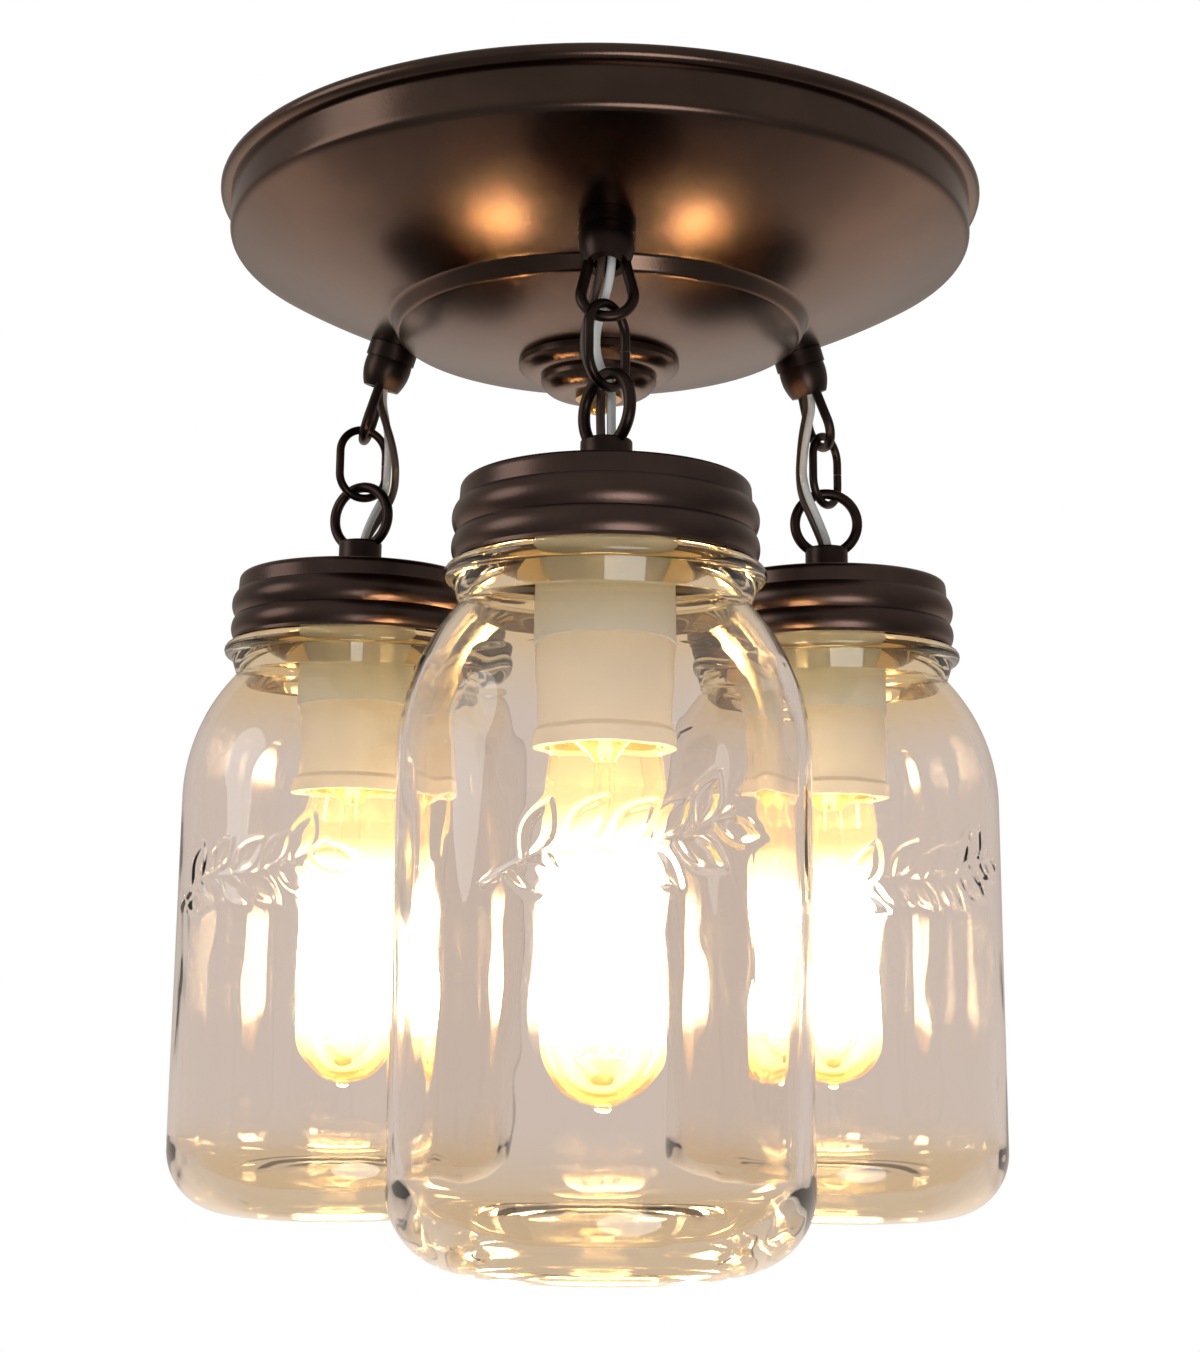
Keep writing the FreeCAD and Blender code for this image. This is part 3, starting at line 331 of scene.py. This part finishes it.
def drill_stem_hole(piece, bearing):
    """Cut the hole for the stem of one cup, square to the dish."""
    lean = math.asin(SEAT_RADIUS / DISH_RADIUS)
    seat = Matrix.Rotation(math.radians(bearing), 4, "Z")
    seat = seat @ Matrix.Translation(Vector((0, 0, DISH_CENTRE)) * MM)
    seat = seat @ Matrix.Rotation(-lean, 4, "Y")
    seat = seat @ Matrix.Translation(Vector((0, 0, -DISH_RADIUS)) * MM)
    rod = [(DRILL_TIP, DRILL_REACH), (STEM_HOLE, DRILL_REACH)]
    rod += [(STEM_HOLE, -DRILL_REACH), (DRILL_TIP, -DRILL_REACH)]
    drill = turned("drill", rod, HOLE_SIDES)
    drill.matrix_world = seat
    cut = piece.modifiers.new("hole", "BOOLEAN")
    cut.operation, cut.solver, cut.object = "DIFFERENCE", "EXACT", drill
    view = bpy.context.evaluated_depsgraph_get()
    mesh = bpy.data.meshes.new_from_object(piece.evaluated_get(view))
    piece.modifiers.clear()
    piece.data = mesh
    bpy.data.objects.remove(drill)


def coat_piece(piece, material, sharp):
    """Give a made piece its material, and smooth it up to an angle in degrees."""
    piece.data.shade_smooth()
    piece.data.set_sharp_from_angle(angle=math.radians(sharp))
    piece.data.materials.clear()
    piece.data.materials.append(material)


bronze = metal("oil-rubbed bronze", dark=(0.070, 0.042, 0.031), light=(0.110, 0.066, 0.048), roughness=0.24)
canopy = turned("canopy_dish", canopy_outline(), CANOPY_COLUMNS)
for name in PENDANTS:
    drill_stem_hole(canopy, BEARINGS[name])
coat_piece(canopy, bronze, CANOPY_SHARP)
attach(canopy, "ceiling_side")
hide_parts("canopy")


# Bell and knob: a stepped bell of the same bronze under the canopy's middle, and an amber
# brass knob on the end of the stud, which holds bell and canopy up against the ceiling.
knob_brass = metal("amber brass", dark=(0.36, 0.19, 0.055), light=(0.52, 0.30, 0.10), roughness=0.28)
paint(bronze, "bell_cap")
paint(knob_brass, "finial_knob")


# Chains: for each jar a hollow cup with a wire loop, one open link and the ring of the lid,
# in a darker bronze. The cup's stem goes up through the canopy and is nutted inside it.
chain_bronze = metal(
    "chain bronze", dark=(0.028, 0.018, 0.015), light=(0.050, 0.031, 0.025), roughness=0.36, patch=120)
for name in PENDANTS:
    paint(chain_bronze, f"canopy_loop_{name}", f"chain_link_{name}", f"lid_ring_{name}")


# Lids: a flat disc under a ribbed screw band, pressed from sheet with a bronze coat, the
# disc lacquered pale gold inside. A threaded tube and a nut clamp the disc to its ring.
LID_TOP, LACQUER = (0.062, 0.038, 0.031), (0.84, 0.68, 0.42)
LACQUER_START, LACQUER_END = 0.45, 0.55
LACQUER_ROUGHNESS = 0.33


def way_down(start, node):
    """How far down a node each place is, from 0 at its top to 1 at its foot."""
    foot, top = (corner[2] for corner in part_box(node))
    place = start.node("TexCoord", output="Object")
    height = start.node("SeparateXYZ", sockets={"Vector": place}, output="Z")
    return (top - height) / (top - foot)


def lacquered_inside(name):
    """Bronze on top of the lid discs, which hang at one height, and lacquer underneath."""
    material, start = new_material(name)
    side = way_down(start, "lid_disc_front")
    return surface(material, {
        "Base Color": ramp(side, [(LACQUER_START, LID_TOP), (LACQUER_END, LACQUER)]),
        "Metallic": ramp(side, [(LACQUER_START, (1, 1, 1)), (LACQUER_END, (0, 0, 0))]),
        "Roughness": LACQUER_ROUGHNESS,
        "Normal": grain_bump(start, METAL_GRAIN, METAL_GRAIN_DEPTH),
    })


lid_disc = lacquered_inside("lid disc")
lid_bronze = metal(
    "dark bronze coat", dark=(0.064, 0.039, 0.032), light=(0.112, 0.068, 0.054), roughness=0.31, patch=45)
for name in PENDANTS:
    paint(lid_disc, f"lid_disc_{name}")
    paint(lid_bronze, f"lid_band_{name}")
    paint(zinc, f"lid_nipple_{name}", f"lid_nut_{name}")


# Lamp holders: a cool white cap over a warm white body of moulded plastic, with a brass
# screw shell inside, hung on the threaded tube. The lit bulb's light through the body is
# painted on it as a warm glow towards its foot.
# Painted bulb light: a warm glow on the holder's body, from a quarter of the way down to its foot.
PAINTED_BULB_GLOW = (1.0, 0.74, 0.40)
PAINTED_GLOW_START = 0.25
PAINTED_GLOW_STRENGTH = 0.22


def plastic_with_painted_glow(name, dark, light, roughness, coat):
    """Plastic with the bulb's light painted on it as a glow towards its foot."""
    material, start = new_material(name)
    glow = [(PAINTED_GLOW_START, (0, 0, 0)), (1, PAINTED_BULB_GLOW)]
    return surface(material, {
        **plastic_finish(start, dark, light, roughness, coat),
        "Emission Color": ramp(way_down(start, "socket_body_front"), glow),
        "Emission Strength": PAINTED_GLOW_STRENGTH,
    })


socket_grey = plastic("grey plastic", dark=(0.72, 0.78, 0.86), light=(0.78, 0.84, 0.92), roughness=0.42)
socket_white = plastic_with_painted_glow(
    "white plastic with painted glow", dark=(0.70, 0.67, 0.62), light=(0.76, 0.73, 0.68), roughness=0.36, coat=0.2)
shell_brass = metal(
    "shell brass", dark=(0.62, 0.40, 0.16), light=(0.74, 0.50, 0.22), roughness=0.26, patch=150)
for name in PENDANTS:
    paint(socket_grey, f"socket_cap_{name}")
    paint(socket_white, f"socket_body_{name}")
    paint(shell_brass, f"socket_shell_{name}", f"bulb_base_{name}")


# Bulbs: clear tubes round a cage of glowing wire on a glass rod, screwed into the shells.
# Lit, the wire floods the middle of the tube with white light, which falls off to amber at
# its neck and tip.
GLOW_STRENGTH = 22
GLOW = [
    (0.00, (0.005, 0.0028, 0.0009)),
    (0.22, (0.010, 0.0065, 0.0025)),
    (0.34, (0.060, 0.0420, 0.0190)),
    (0.44, (1.000, 0.8000, 0.4800)),
    (0.735, (1.000, 0.8000, 0.4800)),
    (0.83, (0.060, 0.0320, 0.0100)),
    (0.92, (0.008, 0.0034, 0.0006)),
    (1.00, (0.006, 0.0020, 0.0003)),
]
BULB_TINT = [
    (0.0, (1.0, 0.93, 0.76)),
    (0.4, (1.0, 0.92, 0.76)),
    (0.8, (1.0, 0.92, 0.76)),
    (1.0, (0.98, 0.72, 0.34)),
]
BULB_ROUGHNESS, BULB_IOR = 0.02, 1.45
WIRE_GREY, WIRE_ROUGHNESS, WIRE_PATCH = (0.3, 0.28, 0.26, 1), 0.4, 300
WIRE_DIM, WIRE_BRIGHT, WIRE_STRENGTH = (1.0, 0.62, 0.25), (1.0, 0.78, 0.42), 1.5
HAZE_PATCH, GLASS_IOR = 80, 1.5
MOUNT_TINT, MOUNT_HAZE = (0.95, 0.95, 0.93, 1), 0.01


def glowing_glass(name):
    """Glass of the bulbs, which hang at one height, flooded by the wire."""
    material, start = new_material(name)
    along = way_down(start, "bulb_glass_front")
    return surface(material, {
        "Base Color": ramp(along, BULB_TINT),
        "Roughness": BULB_ROUGHNESS,
        "IOR": BULB_IOR,
        "Transmission Weight": 1.0,
        "Emission Color": ramp(along, GLOW),
        "Emission Strength": GLOW_STRENGTH,
    })


def glowing_wire(name):
    material, start = new_material(name)
    return surface(material, {
        "Base Color": WIRE_GREY,
        "Metallic": 1.0,
        "Roughness": WIRE_ROUGHNESS,
        "Emission Color": mottled(cloud(start, WIRE_PATCH), WIRE_DIM, WIRE_BRIGHT),
        "Emission Strength": WIRE_STRENGTH,
    })


def clear_finish(start, tint, haze):
    """The inputs of clear glass with a faint haze in patches."""
    return {
        "Base Color": tint,
        "Roughness": haze * cloud(start, HAZE_PATCH),
        "IOR": GLASS_IOR,
        "Transmission Weight": 1.0,
    }


def rod_glass(name):
    material, start = new_material(name)
    return surface(material, clear_finish(start, MOUNT_TINT, MOUNT_HAZE))


bulb_glass = glowing_glass("lit bulb glass")
filament = glowing_wire("glowing filament")
mount_glass = rod_glass("mount glass")
for name in PENDANTS:
    paint(bulb_glass, f"bulb_glass_{name}")
    paint(mount_glass, f"bulb_mount_{name}")
    paint(filament, f"bulb_filament_{name}")


# Jars: clear pressed glass, thick in the base and a little wavy inside, with a screw thread
# under the band, a bead below it and a plain leafy sprig raised on the front. Each screws
# up into its band.
JAR_HEIGHT = 175
JAR_WALL = 3
BODY_RADIUS = 48
RELIEF = 0.4
GLASS_RADIUS = BODY_RADIUS - RELIEF
MOUTH_RADIUS = 29.8
FINISH_RADIUS = 33
RIM = 1.2
BEAD_RADIUS, BEAD_DROP, BEAD_HALF = 37.8, 20.8, 2.1
NECK_RADIUS, NECK_BORE = 34, 30.6
SHOULDER, SHOULDER_DROP = 52, 63
HEEL = 17
BASE = 6
FLOOR_CENTRE = 6
FOOT, PUSH_UP, PUSH_UP_RUN = 28, 2.5, 4
FACING = {"front": 270, "left": 235, "right": 292}
FINE_ROW = 0.5
FINE_HALF, FINE_STEP, COARSE_STEP = 40, 0.5, 2.5
JAR_SHARP = 50


def jar_outline():
    """Half section of the jar: down the outside from the rim, and back up the inside."""
    shoulder = (GLASS_RADIUS - SHOULDER, -SHOULDER_DROP)
    neck_turn = math.degrees(math.acos((NECK_RADIUS - shoulder[0]) / SHOULDER))
    bore_turn = math.degrees(math.acos((NECK_BORE - shoulder[0]) / (SHOULDER - JAR_WALL)))
    bead, bead_top = (BEAD_RADIUS - BEAD_HALF, -BEAD_DROP), BEAD_HALF - BEAD_DROP
    heel = (GLASS_RADIUS - HEEL, HEEL - JAR_HEIGHT)
    foot, push_up = -JAR_HEIGHT, PUSH_UP - JAR_HEIGHT
    floor = BASE - JAR_HEIGHT
    bore, bore_heel = GLASS_RADIUS - JAR_WALL, HEEL - JAR_WALL
    outside = bend((FINISH_RADIUS - RIM, -RIM), RIM, 90, 0)
    outside += run((FINISH_RADIUS, -RIM), (FINISH_RADIUS, bead_top))[1:]
    outside += run((FINISH_RADIUS, bead_top), (bead[0], bead_top))
    outside += bend(bead, BEAD_HALF, 90, -90)
    outside += bend(shoulder, SHOULDER, neck_turn, 0)
    outside += run((GLASS_RADIUS, -SHOULDER_DROP), (GLASS_RADIUS, heel[1]), FINE_ROW)[1:]
    outside += bend(heel, HEEL, 0, -90)
    outside += [(FOOT, foot), (FOOT - PUSH_UP_RUN, push_up), (0, push_up)]
    inside = [(0, floor)]
    inside += run((FLOOR_CENTRE, floor), (heel[0], floor))
    inside += bend((heel[0], floor + bore_heel), bore_heel, -90, 0)
    inside += run((bore, floor + bore_heel), (bore, -SHOULDER_DROP))[1:]
    inside += bend(shoulder, SHOULDER - JAR_WALL, 0, bore_turn)
    inside += run((MOUTH_RADIUS, -BEAD_DROP), (MOUTH_RADIUS, -RIM))
    inside += bend((MOUTH_RADIUS + RIM, -RIM), RIM, 180, 90)
    return outside, inside


SPRIG_DROP, SPRIG_WIDE, SPRIG_RISE, SPRIG_WAVE = 86, 54, 16, 2.5
LEAF_LONG, LEAF_HALF, LEAF_ANGLE, LEAF_PAIRS = 13, 2.9, 42, 5
STEM_STEPS, LEAF_STEPS = 24, 9
RIDGE, RIDGE_SHARE = 0.85, 0.9


def sprig_stem(share):
    """A place on the sprig's waving stem, and its slope there."""
    turn = 2 * math.pi * share
    place = ((share - 0.5) * SPRIG_WIDE, (share - 0.5) * SPRIG_RISE + SPRIG_WAVE * math.sin(turn))
    return place, math.atan2(SPRIG_RISE + SPRIG_WAVE * 2 * math.pi * math.cos(turn), SPRIG_WIDE)


def leaf(base, heading, side):
    """One edge of a leaf that points along a heading."""
    edge = []
    for i in range(LEAF_STEPS + 1):
        along = LEAF_LONG * i / LEAF_STEPS
        off = side * LEAF_HALF * math.sin(math.pi * i / LEAF_STEPS)
        edge.append((base[0] + along * math.cos(heading) - off * math.sin(heading),
                     base[1] + along * math.sin(heading) + off * math.cos(heading)))
    return edge


def sprig_lines():
    """The raised lines of the sprig, each as points across and up from its middle."""
    lines = [[sprig_stem(i / STEM_STEPS)[0] for i in range(STEM_STEPS + 1)]]
    spread = math.radians(LEAF_ANGLE)
    for i in range(2 * LEAF_PAIRS + 1):
        base, slope = sprig_stem((i + 1) / (2 * LEAF_PAIRS + 2))
        turn = spread if i % 2 else -spread
        lines += [leaf(base, slope + turn, 1), leaf(base, slope + turn, -1)]
    return lines


def sprig_height(across, up):
    """Height of the raised sprig, from 0 to 1, at arrays of distances across and up."""
    place = numpy.stack(numpy.broadcast_arrays(across, up), -1)[:, None]
    lines = sprig_lines()
    begin = numpy.array([p for line in lines for p in line[:-1]])
    step = numpy.array([p for line in lines for p in line[1:]]) - begin
    share = ((place - begin) * step).sum(-1) / (step * step).sum(-1)
    nearest = begin + step * share.clip(0, 1)[..., None]
    gap = numpy.linalg.norm(place - nearest, axis=-1).min(-1)
    return numpy.exp(-((gap / RIDGE) ** 2))


def sprig_ring(radius, height, columns):
    """How far the sprig stands out round one ring of the outside, in millimetres."""
    if radius != GLASS_RADIUS:
        return numpy.zeros(len(columns))
    across = GLASS_RADIUS * numpy.array(columns)
    return RIDGE_SHARE * RELIEF * sprig_height(across, height + SPRIG_DROP)


THREAD_TOP, THREAD_FOOT, THREAD_PITCH, THREAD_RISE = 3.5, 15.5, 6, 0.7
WAVE_OVER_SHOULDER = 20
WAVE_TOP = WAVE_OVER_SHOULDER - SHOULDER_DROP
WAVE_ACROSS, WAVE_UP, WAVE = 11, 34, 0.3
RIPPLE_ACROSS, RIPPLE_UP, RIPPLE = 5, 12, 0.05


def thread_rise(height, bearing):
    """How far the screw thread stands out from the neck, in millimetres."""
    if not -THREAD_FOOT < height < -THREAD_TOP:
        return 0
    turn = (-height - THREAD_TOP) / THREAD_PITCH - bearing / (2 * math.pi)
    return THREAD_RISE * max(0, math.cos(2 * math.pi * turn)) ** 2


def inside_wave(radius, height, bearing):
    """How far the inside of the glass wanders from its outline, in millimetres."""
    if height > WAVE_TOP:
        return 0
    x, y = radius * math.cos(bearing), radius * math.sin(bearing)
    wave = noise.noise((x / WAVE_ACROSS, y / WAVE_ACROSS, height / WAVE_UP))
    ripple = noise.noise((x / RIPPLE_ACROSS, y / RIPPLE_ACROSS, height / RIPPLE_UP))
    return WAVE * wave + RIPPLE * ripple


def jar_columns():
    """Bearings round the jar from the middle of its front, closer together at the front."""
    fine_count = round(FINE_HALF / FINE_STEP)
    fine = [FINE_STEP * i for i in range(-fine_count, fine_count)]
    rest = 360 - 2 * FINE_HALF
    coarse = [FINE_HALF + COARSE_STEP * i for i in range(round(rest / COARSE_STEP))]
    return [math.radians(a) for a in fine + coarse]


def jar_radii(radius, height, columns, outer):
    """The radius at each bearing of one ring of the jar."""
    if outer:
        ridges = sprig_ring(radius, height, columns)
        return [radius + ridge + thread_rise(height, a) for ridge, a in zip(ridges, columns)]
    return [radius + inside_wave(radius, height, a) for a in columns]


def add_jar(name, material):
    low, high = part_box(f"jar_{name}")
    mouth = Vector(((low[0] + high[0]) / 2, (low[1] + high[1]) / 2, high[2]))
    front = math.radians(FACING[name])
    outside, inside = jar_outline()
    columns = jar_columns()
    points, rings = [], []
    for i, (radius, height) in enumerate(outside + inside):
        rise = Vector((0, 0, height))
        if radius == 0:
            rings.append([len(points)])
            points.append(mouth + rise * MM)
            continue
        rings.append(range(len(points), len(points) + len(columns)))
        for bearing, out in zip(columns, jar_radii(radius, height, columns, i < len(outside))):
            direction = Vector((math.cos(front + bearing), math.sin(front + bearing), 0))
            points.append(mouth + (direction * out + rise) * MM)
    piece = meshed(f"jar_glass_{name}", points, rings, len(columns))
    coat_piece(piece, material, JAR_SHARP)
    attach(piece, f"jar_{name}")
    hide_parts(f"jar_{name}")


JAR_HAZE = 0.006
# Clear glass of its own faint colour, with the warm light of the bulbs painted straw at the neck and the
# heel.
JAR_TINT_WITH_PAINTED_BULB_LIGHT = [
    (0.00, (0.97, 0.86, 0.62)),
    (0.17, (0.97, 0.86, 0.62)),
    (0.27, (0.97, 0.95, 0.93)),
    (0.86, (0.97, 0.95, 0.93)),
    (0.94, (0.96, 0.88, 0.72)),
    (1.00, (0.94, 0.82, 0.58)),
]


def glass_with_painted_bulb_light(name):
    """Glass of the jars, which hang at one height, with the bulbs' warm light painted straw at the neck and
    the heel.
    """
    material, start = new_material(name)
    tint = ramp(way_down(start, "jar_front"), JAR_TINT_WITH_PAINTED_BULB_LIGHT)
    return surface(material, clear_finish(start, tint, JAR_HAZE))


jar_glass = glass_with_painted_bulb_light("jar glass with painted bulb light")
for name in PENDANTS:
    add_jar(name, jar_glass)


# Leads: a white and a brown lead to each lamp holder, from the connectors in the canopy
# down through the cup, past the chain and into the ring's collar. Each is in two lengths
# that meet beside the link.
LEAD_DIAMETER = 2.2
ROUTES = {
    ("front", "white"): [
        (0.72, 22.74, -14), (0.72, 22.74, -28), (7, 13, -33), (13, -2, -34), (14, -20, -31),
        (8, -37, -24), (3, -50, -14), (1.25, -63.94, -17.93), (1.25, -68.36, -29.2),
        (1.25, -73.91, -45.16), (-1.2, -71.92, -54.39), (-2.8, -71.52, -61.39), (-2, -71.22, -67.99),
        (1.5, -71.22, -74.49), (1.2, -74.52, -81.39), (1.25, -78.32, -89.79), (1.25, -78.62, -99.39),
        (1.25, -79.02, -110.39), (1.25, -78.82, -120.86),
    ],
    ("front", "brown"): [
        (0, -25.45, -14), (0, -25.45, -26), (-0.6, -34, -34.5), (-2, -44, -28), (-2.2, -53, -17.5),
        (-1.25, -63.94, -17.93), (-1.25, -68.36, -29.2), (-1.25, -73.91, -45.16), (-4, -71.62, -54.39),
        (-5.6, -71.22, -61.39), (-4.8, -70.92, -67.99), (-1.1, -70.92, -74.49), (-1.4, -74.32, -81.39),
        (-1.25, -78.32, -89.79), (-1.25, -78.62, -99.39), (-1.25, -79.02, -110.39),
        (-1.25, -78.82, -120.86),
    ],
    ("left", "white"): [
        (-1.45, 24, -14), (-1.45, 24, -27), (-13, 26, -31), (-29, 25, -24), (-43.5, 27, -13.5),
        (-54.75, 33.05, -17.93), (-58.58, 35.26, -29.2), (-63.38, 38.04, -45.16),
        (-61.36, 37.21, -54.39), (-60.66, 36.91, -61.39), (-60.86, 37.41, -67.99),
        (-61.26, 39.81, -74.49), (-64.76, 38.61, -81.39), (-67.76, 38.16, -89.79),
        (-68.06, 38.16, -99.39), (-68.46, 38.16, -110.39), (-68.26, 38.16, -120.86),
    ],
    ("left", "brown"): [
        (-1.26, -23.27, -14), (-1.26, -23.27, -29), (-13, -10, -30), (-27, 5, -26), (-39, 17.5, -19),
        (-47.5, 26, -14), (-56, 30.89, -17.93), (-59.83, 33.1, -29.2), (-64.63, 35.87, -45.16),
        (-61.56, 34.41, -54.39), (-59.26, 34.61, -61.39), (-58.26, 37.01, -67.99),
        (-59.06, 41.61, -74.49), (-62.86, 41.51, -81.39), (-67.76, 40.66, -89.79),
        (-68.06, 40.66, -99.39), (-68.46, 40.66, -110.39), (-68.26, 40.66, -120.86),
    ],
    ("right", "white"): [
        (0.72, 25.26, -14), (0.72, 25.26, -27), (13, 27.5, -31), (29, 26, -24), (43, 24.5, -12),
        (56, 30.89, -17.93), (59.83, 33.1, -29.2), (64.63, 35.87, -45.16), (62.66, 36.01, -54.39),
        (61.66, 36.41, -61.39), (61.06, 35.71, -67.99), (62.06, 33.91, -74.49), (65.46, 35.51, -81.39),
        (69.32, 38.58, -89.79), (69.06, 38.43, -99.39), (68.71, 38.23, -110.39),
        (68.89, 38.33, -120.86),
    ],
    ("right", "brown"): [
        (1.26, -23.27, -14), (1.26, -23.27, -29), (13, -10, -30), (26, 5, -28), (36.5, 17, -24.5),
        (45, 27.5, -18), (54.75, 33.05, -17.93), (58.58, 35.26, -29.2), (63.38, 38.04, -45.16),
        (61.46, 38.61, -54.39), (60.76, 39.21, -61.39), (60.36, 38.51, -67.99), (60.76, 36.61, -74.49),
        (64.06, 37.91, -81.39), (68.07, 40.74, -89.79), (67.81, 40.59, -99.39), (67.46, 40.39, -110.39),
        (67.64, 40.49, -120.86),
    ],
}
SPLIT_HEIGHT = -65
UPPER_BEND, LOWER_BEND = (-55, -62.5), (-67, -80)
LEAD_STEPS, LEAD_ROUNDS, LEAD_ORDER = 12, 5, 3
LEAD_SHARP = 50


def lead_curve(name, route):
    """A smooth curve steered by the points of a route."""
    data = bpy.data.curves.new(name, "CURVE")
    data.dimensions = "3D"
    data.resolution_u = LEAD_STEPS
    data.bevel_resolution = LEAD_ROUNDS
    data.use_fill_caps = True
    spline = data.splines.new("NURBS")
    spline.points.add(len(route) - 1)
    for point, place in zip(spline.points, route):
        point.co = (*(c * MM for c in place), 1)
    spline.order_u = LEAD_ORDER
    spline.use_endpoint_u = True
    return placed(name, data)


def lead_length(name, route, material):
    """One length of lead as a tube, and the points along its middle."""
    curve = lead_curve(name, route)
    bpy.context.view_layer.update()
    line = bpy.data.meshes.new_from_object(curve)
    path = [v.co.copy() for v in line.vertices]
    curve.data.bevel_depth = LEAD_DIAMETER / 2 * MM
    bpy.context.view_layer.update()
    mesh = bpy.data.meshes.new_from_object(curve)
    bpy.data.objects.remove(curve)
    piece = placed(name, mesh)
    coat_piece(piece, material, LEAD_SHARP)
    return piece, path


def add_lead(name, colour, material):
    route = ROUTES[name, colour]
    below = next(i for i, place in enumerate(route) if place[2] < SPLIT_HEIGHT)
    meeting = tuple((a + b) / 2 for a, b in zip(route[below - 1], route[below]))
    middle = [c * MM for c in meeting[:2]]
    lengths = (
        ("upper", route[:below] + [meeting], "ceiling_side", f"link_{name}", UPPER_BEND),
        ("lower", [meeting] + route[below:], f"link_{name}", f"lid_{name}", LOWER_BEND),
    )
    for part, points, above, under, (begin, end) in lengths:
        piece, path = lead_length(f"{colour}_lead_{name}_{part}", points, material)
        begin * MM
        end * MM
        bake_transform(piece)
        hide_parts(f"wire_{colour}_{name}")


white_lead = plastic("white lead cover", dark=(0.74, 0.72, 0.68), light=(0.80, 0.78, 0.74), roughness=0.4)
brown_lead = plastic(
    "brown lead cover", dark=(0.065, 0.038, 0.027), light=(0.085, 0.050, 0.035), roughness=0.4)
for name in PENDANTS:
    add_lead(name, "white", white_lead)
    add_lead(name, "brown", brown_lead)


# Camera: the photograph looks up a little from in front, at the height of the jars, with its
# frame shifted down. The place is in millimetres, the turns in degrees, and the focal length
# and the height of the lens's axis in pixels of the photograph.
CAMERA_PLACE = (-13.57, -553.80, -217.16)
CAMERA_YAW, CAMERA_PITCH, CAMERA_ROLL = 1.484, 11.205, 0.454
PHOTO_TALL = 1352
FOCAL_PIXELS = 2071.7
CENTRE_HEIGHT = 580
SENSOR = 36
CLIP_START = 0.01

lens = bpy.data.cameras.new("camera")
lens.sensor_fit = "AUTO"
lens.sensor_width = SENSOR
lens.lens = FOCAL_PIXELS * SENSOR / PHOTO_TALL
lens.shift_y = (CENTRE_HEIGHT - PHOTO_TALL / 2) / PHOTO_TALL
lens.clip_start = CLIP_START
camera = placed("camera", lens)
aim = Matrix.Translation(Vector(CAMERA_PLACE) * MM)
for angle, axis in ((-CAMERA_YAW, "Z"), (90 + CAMERA_PITCH, "X"), (CAMERA_ROLL, "Z")):
    aim = aim @ Matrix.Rotation(math.radians(angle), 4, axis)
camera.matrix_world = aim
bpy.context.scene.camera = camera


# Room: a white ground to the camera and a warm grey one through the glass. Its own light is
# cool and dim in front, warm and brighter low behind. Two soft windows out of the picture
# light the metal; they are given in metres and watts.
ROOM_IN_FRONT = [(0.0, 0.22), (0.16, 0.22), (0.32, 0.22), (0.46, 0.28), (0.7, 0.40), (1.0, 0.40)]
ROOM_BEHIND = [(0.0, 0.35), (0.1, 0.8), (0.2, 1.6), (0.35, 1.1), (0.52, 0.4), (1.0, 0.4)]
ROOM_TURN = 0.55
COOL_LIGHT, WARM_LIGHT = (0.95, 0.98, 1.0, 1), (1.0, 0.87, 0.77, 1)
WHITE_GROUND, SEEN_THROUGH_GLASS = (1, 1, 1, 1), (0.66, 0.56, 0.50, 1)
MIX_SHARE, MIX_FIRST, MIX_SECOND, MIX_COLOUR = 0, 6, 7, 2
GLASS_BOUNCES, METAL_BOUNCES = 24, 12


def room_level(height, stops):
    """Light from the room by height, from straight below at 0 to straight above at 1."""
    shades = ramp(height, [(place, (shade,) * 3) for place, shade in stops])
    return shades.node("RGBToBW", sockets={"Color": shades})


def blended(share, first, second):
    """One colour turning into another."""
    colours = {MIX_SHARE: share, MIX_FIRST: first, MIX_SECOND: second}
    return share.node("Mix", {"data_type": "RGBA"}, colours, output=MIX_COLOUR)


def window(name, place, target, size, power, colour):
    """A round lamp, turned towards a target, that shows only in what it lights."""
    data = bpy.data.lights.new(name, "AREA")
    data.shape = "DISK"
    data.size = size
    data.energy = power
    data.color = colour
    lamp = placed(name, data)
    lamp.location = place
    lamp.rotation_euler = (Vector(target) - Vector(place)).to_track_quat("-Z", "Y").to_euler()
    lamp.visible_camera = False
    lamp.visible_transmission = False


world = bpy.data.worlds.new("room")
bpy.context.scene.world = world
start = blank_tree(world)
direction = start.node("TexCoord", output="Generated")
back = start.node("SeparateXYZ", sockets={"Vector": direction}, output="Y")
up = start.node("SeparateXYZ", sockets={"Vector": direction}, output="Z")
height = 0.5 + 0.5 * up
behind = start.maths("MINIMUM", start.maths("MAXIMUM", back / ROOM_TURN, 0.0), 1.0)
strength = room_level(height, ROOM_IN_FRONT) * (1 - behind) + room_level(height, ROOM_BEHIND) * behind
light = blended(behind, COOL_LIGHT, WARM_LIGHT)
light = start.node("VectorMath", {"operation": "SCALE"}, {"Vector": light, "Scale": strength})
light = blended(start.node("LightPath", output="Is Transmission Ray"), light, SEEN_THROUGH_GLASS)
light = blended(start.node("LightPath", output="Is Camera Ray"), light, WHITE_GROUND)
room = start.node("Background", sockets={"Color": light})
start.node("OutputWorld", sockets={"Surface": room})

window("low window", place=(0.35, -1.5, -0.95), target=(0, 0, -0.06), size=0.9, power=11,
       colour=(0.93, 0.97, 1.0))
window("side window", place=(-1.5, -0.35, 0.3), target=(0, 0, -0.12), size=0.9, power=5,
       colour=(0.95, 0.98, 1.0))

cycles = bpy.context.scene.cycles
cycles.max_bounces = GLASS_BOUNCES
cycles.transmission_bounces = GLASS_BOUNCES
cycles.glossy_bounces = METAL_BOUNCES
bpy.context.scene.view_settings.view_transform = "Standard"
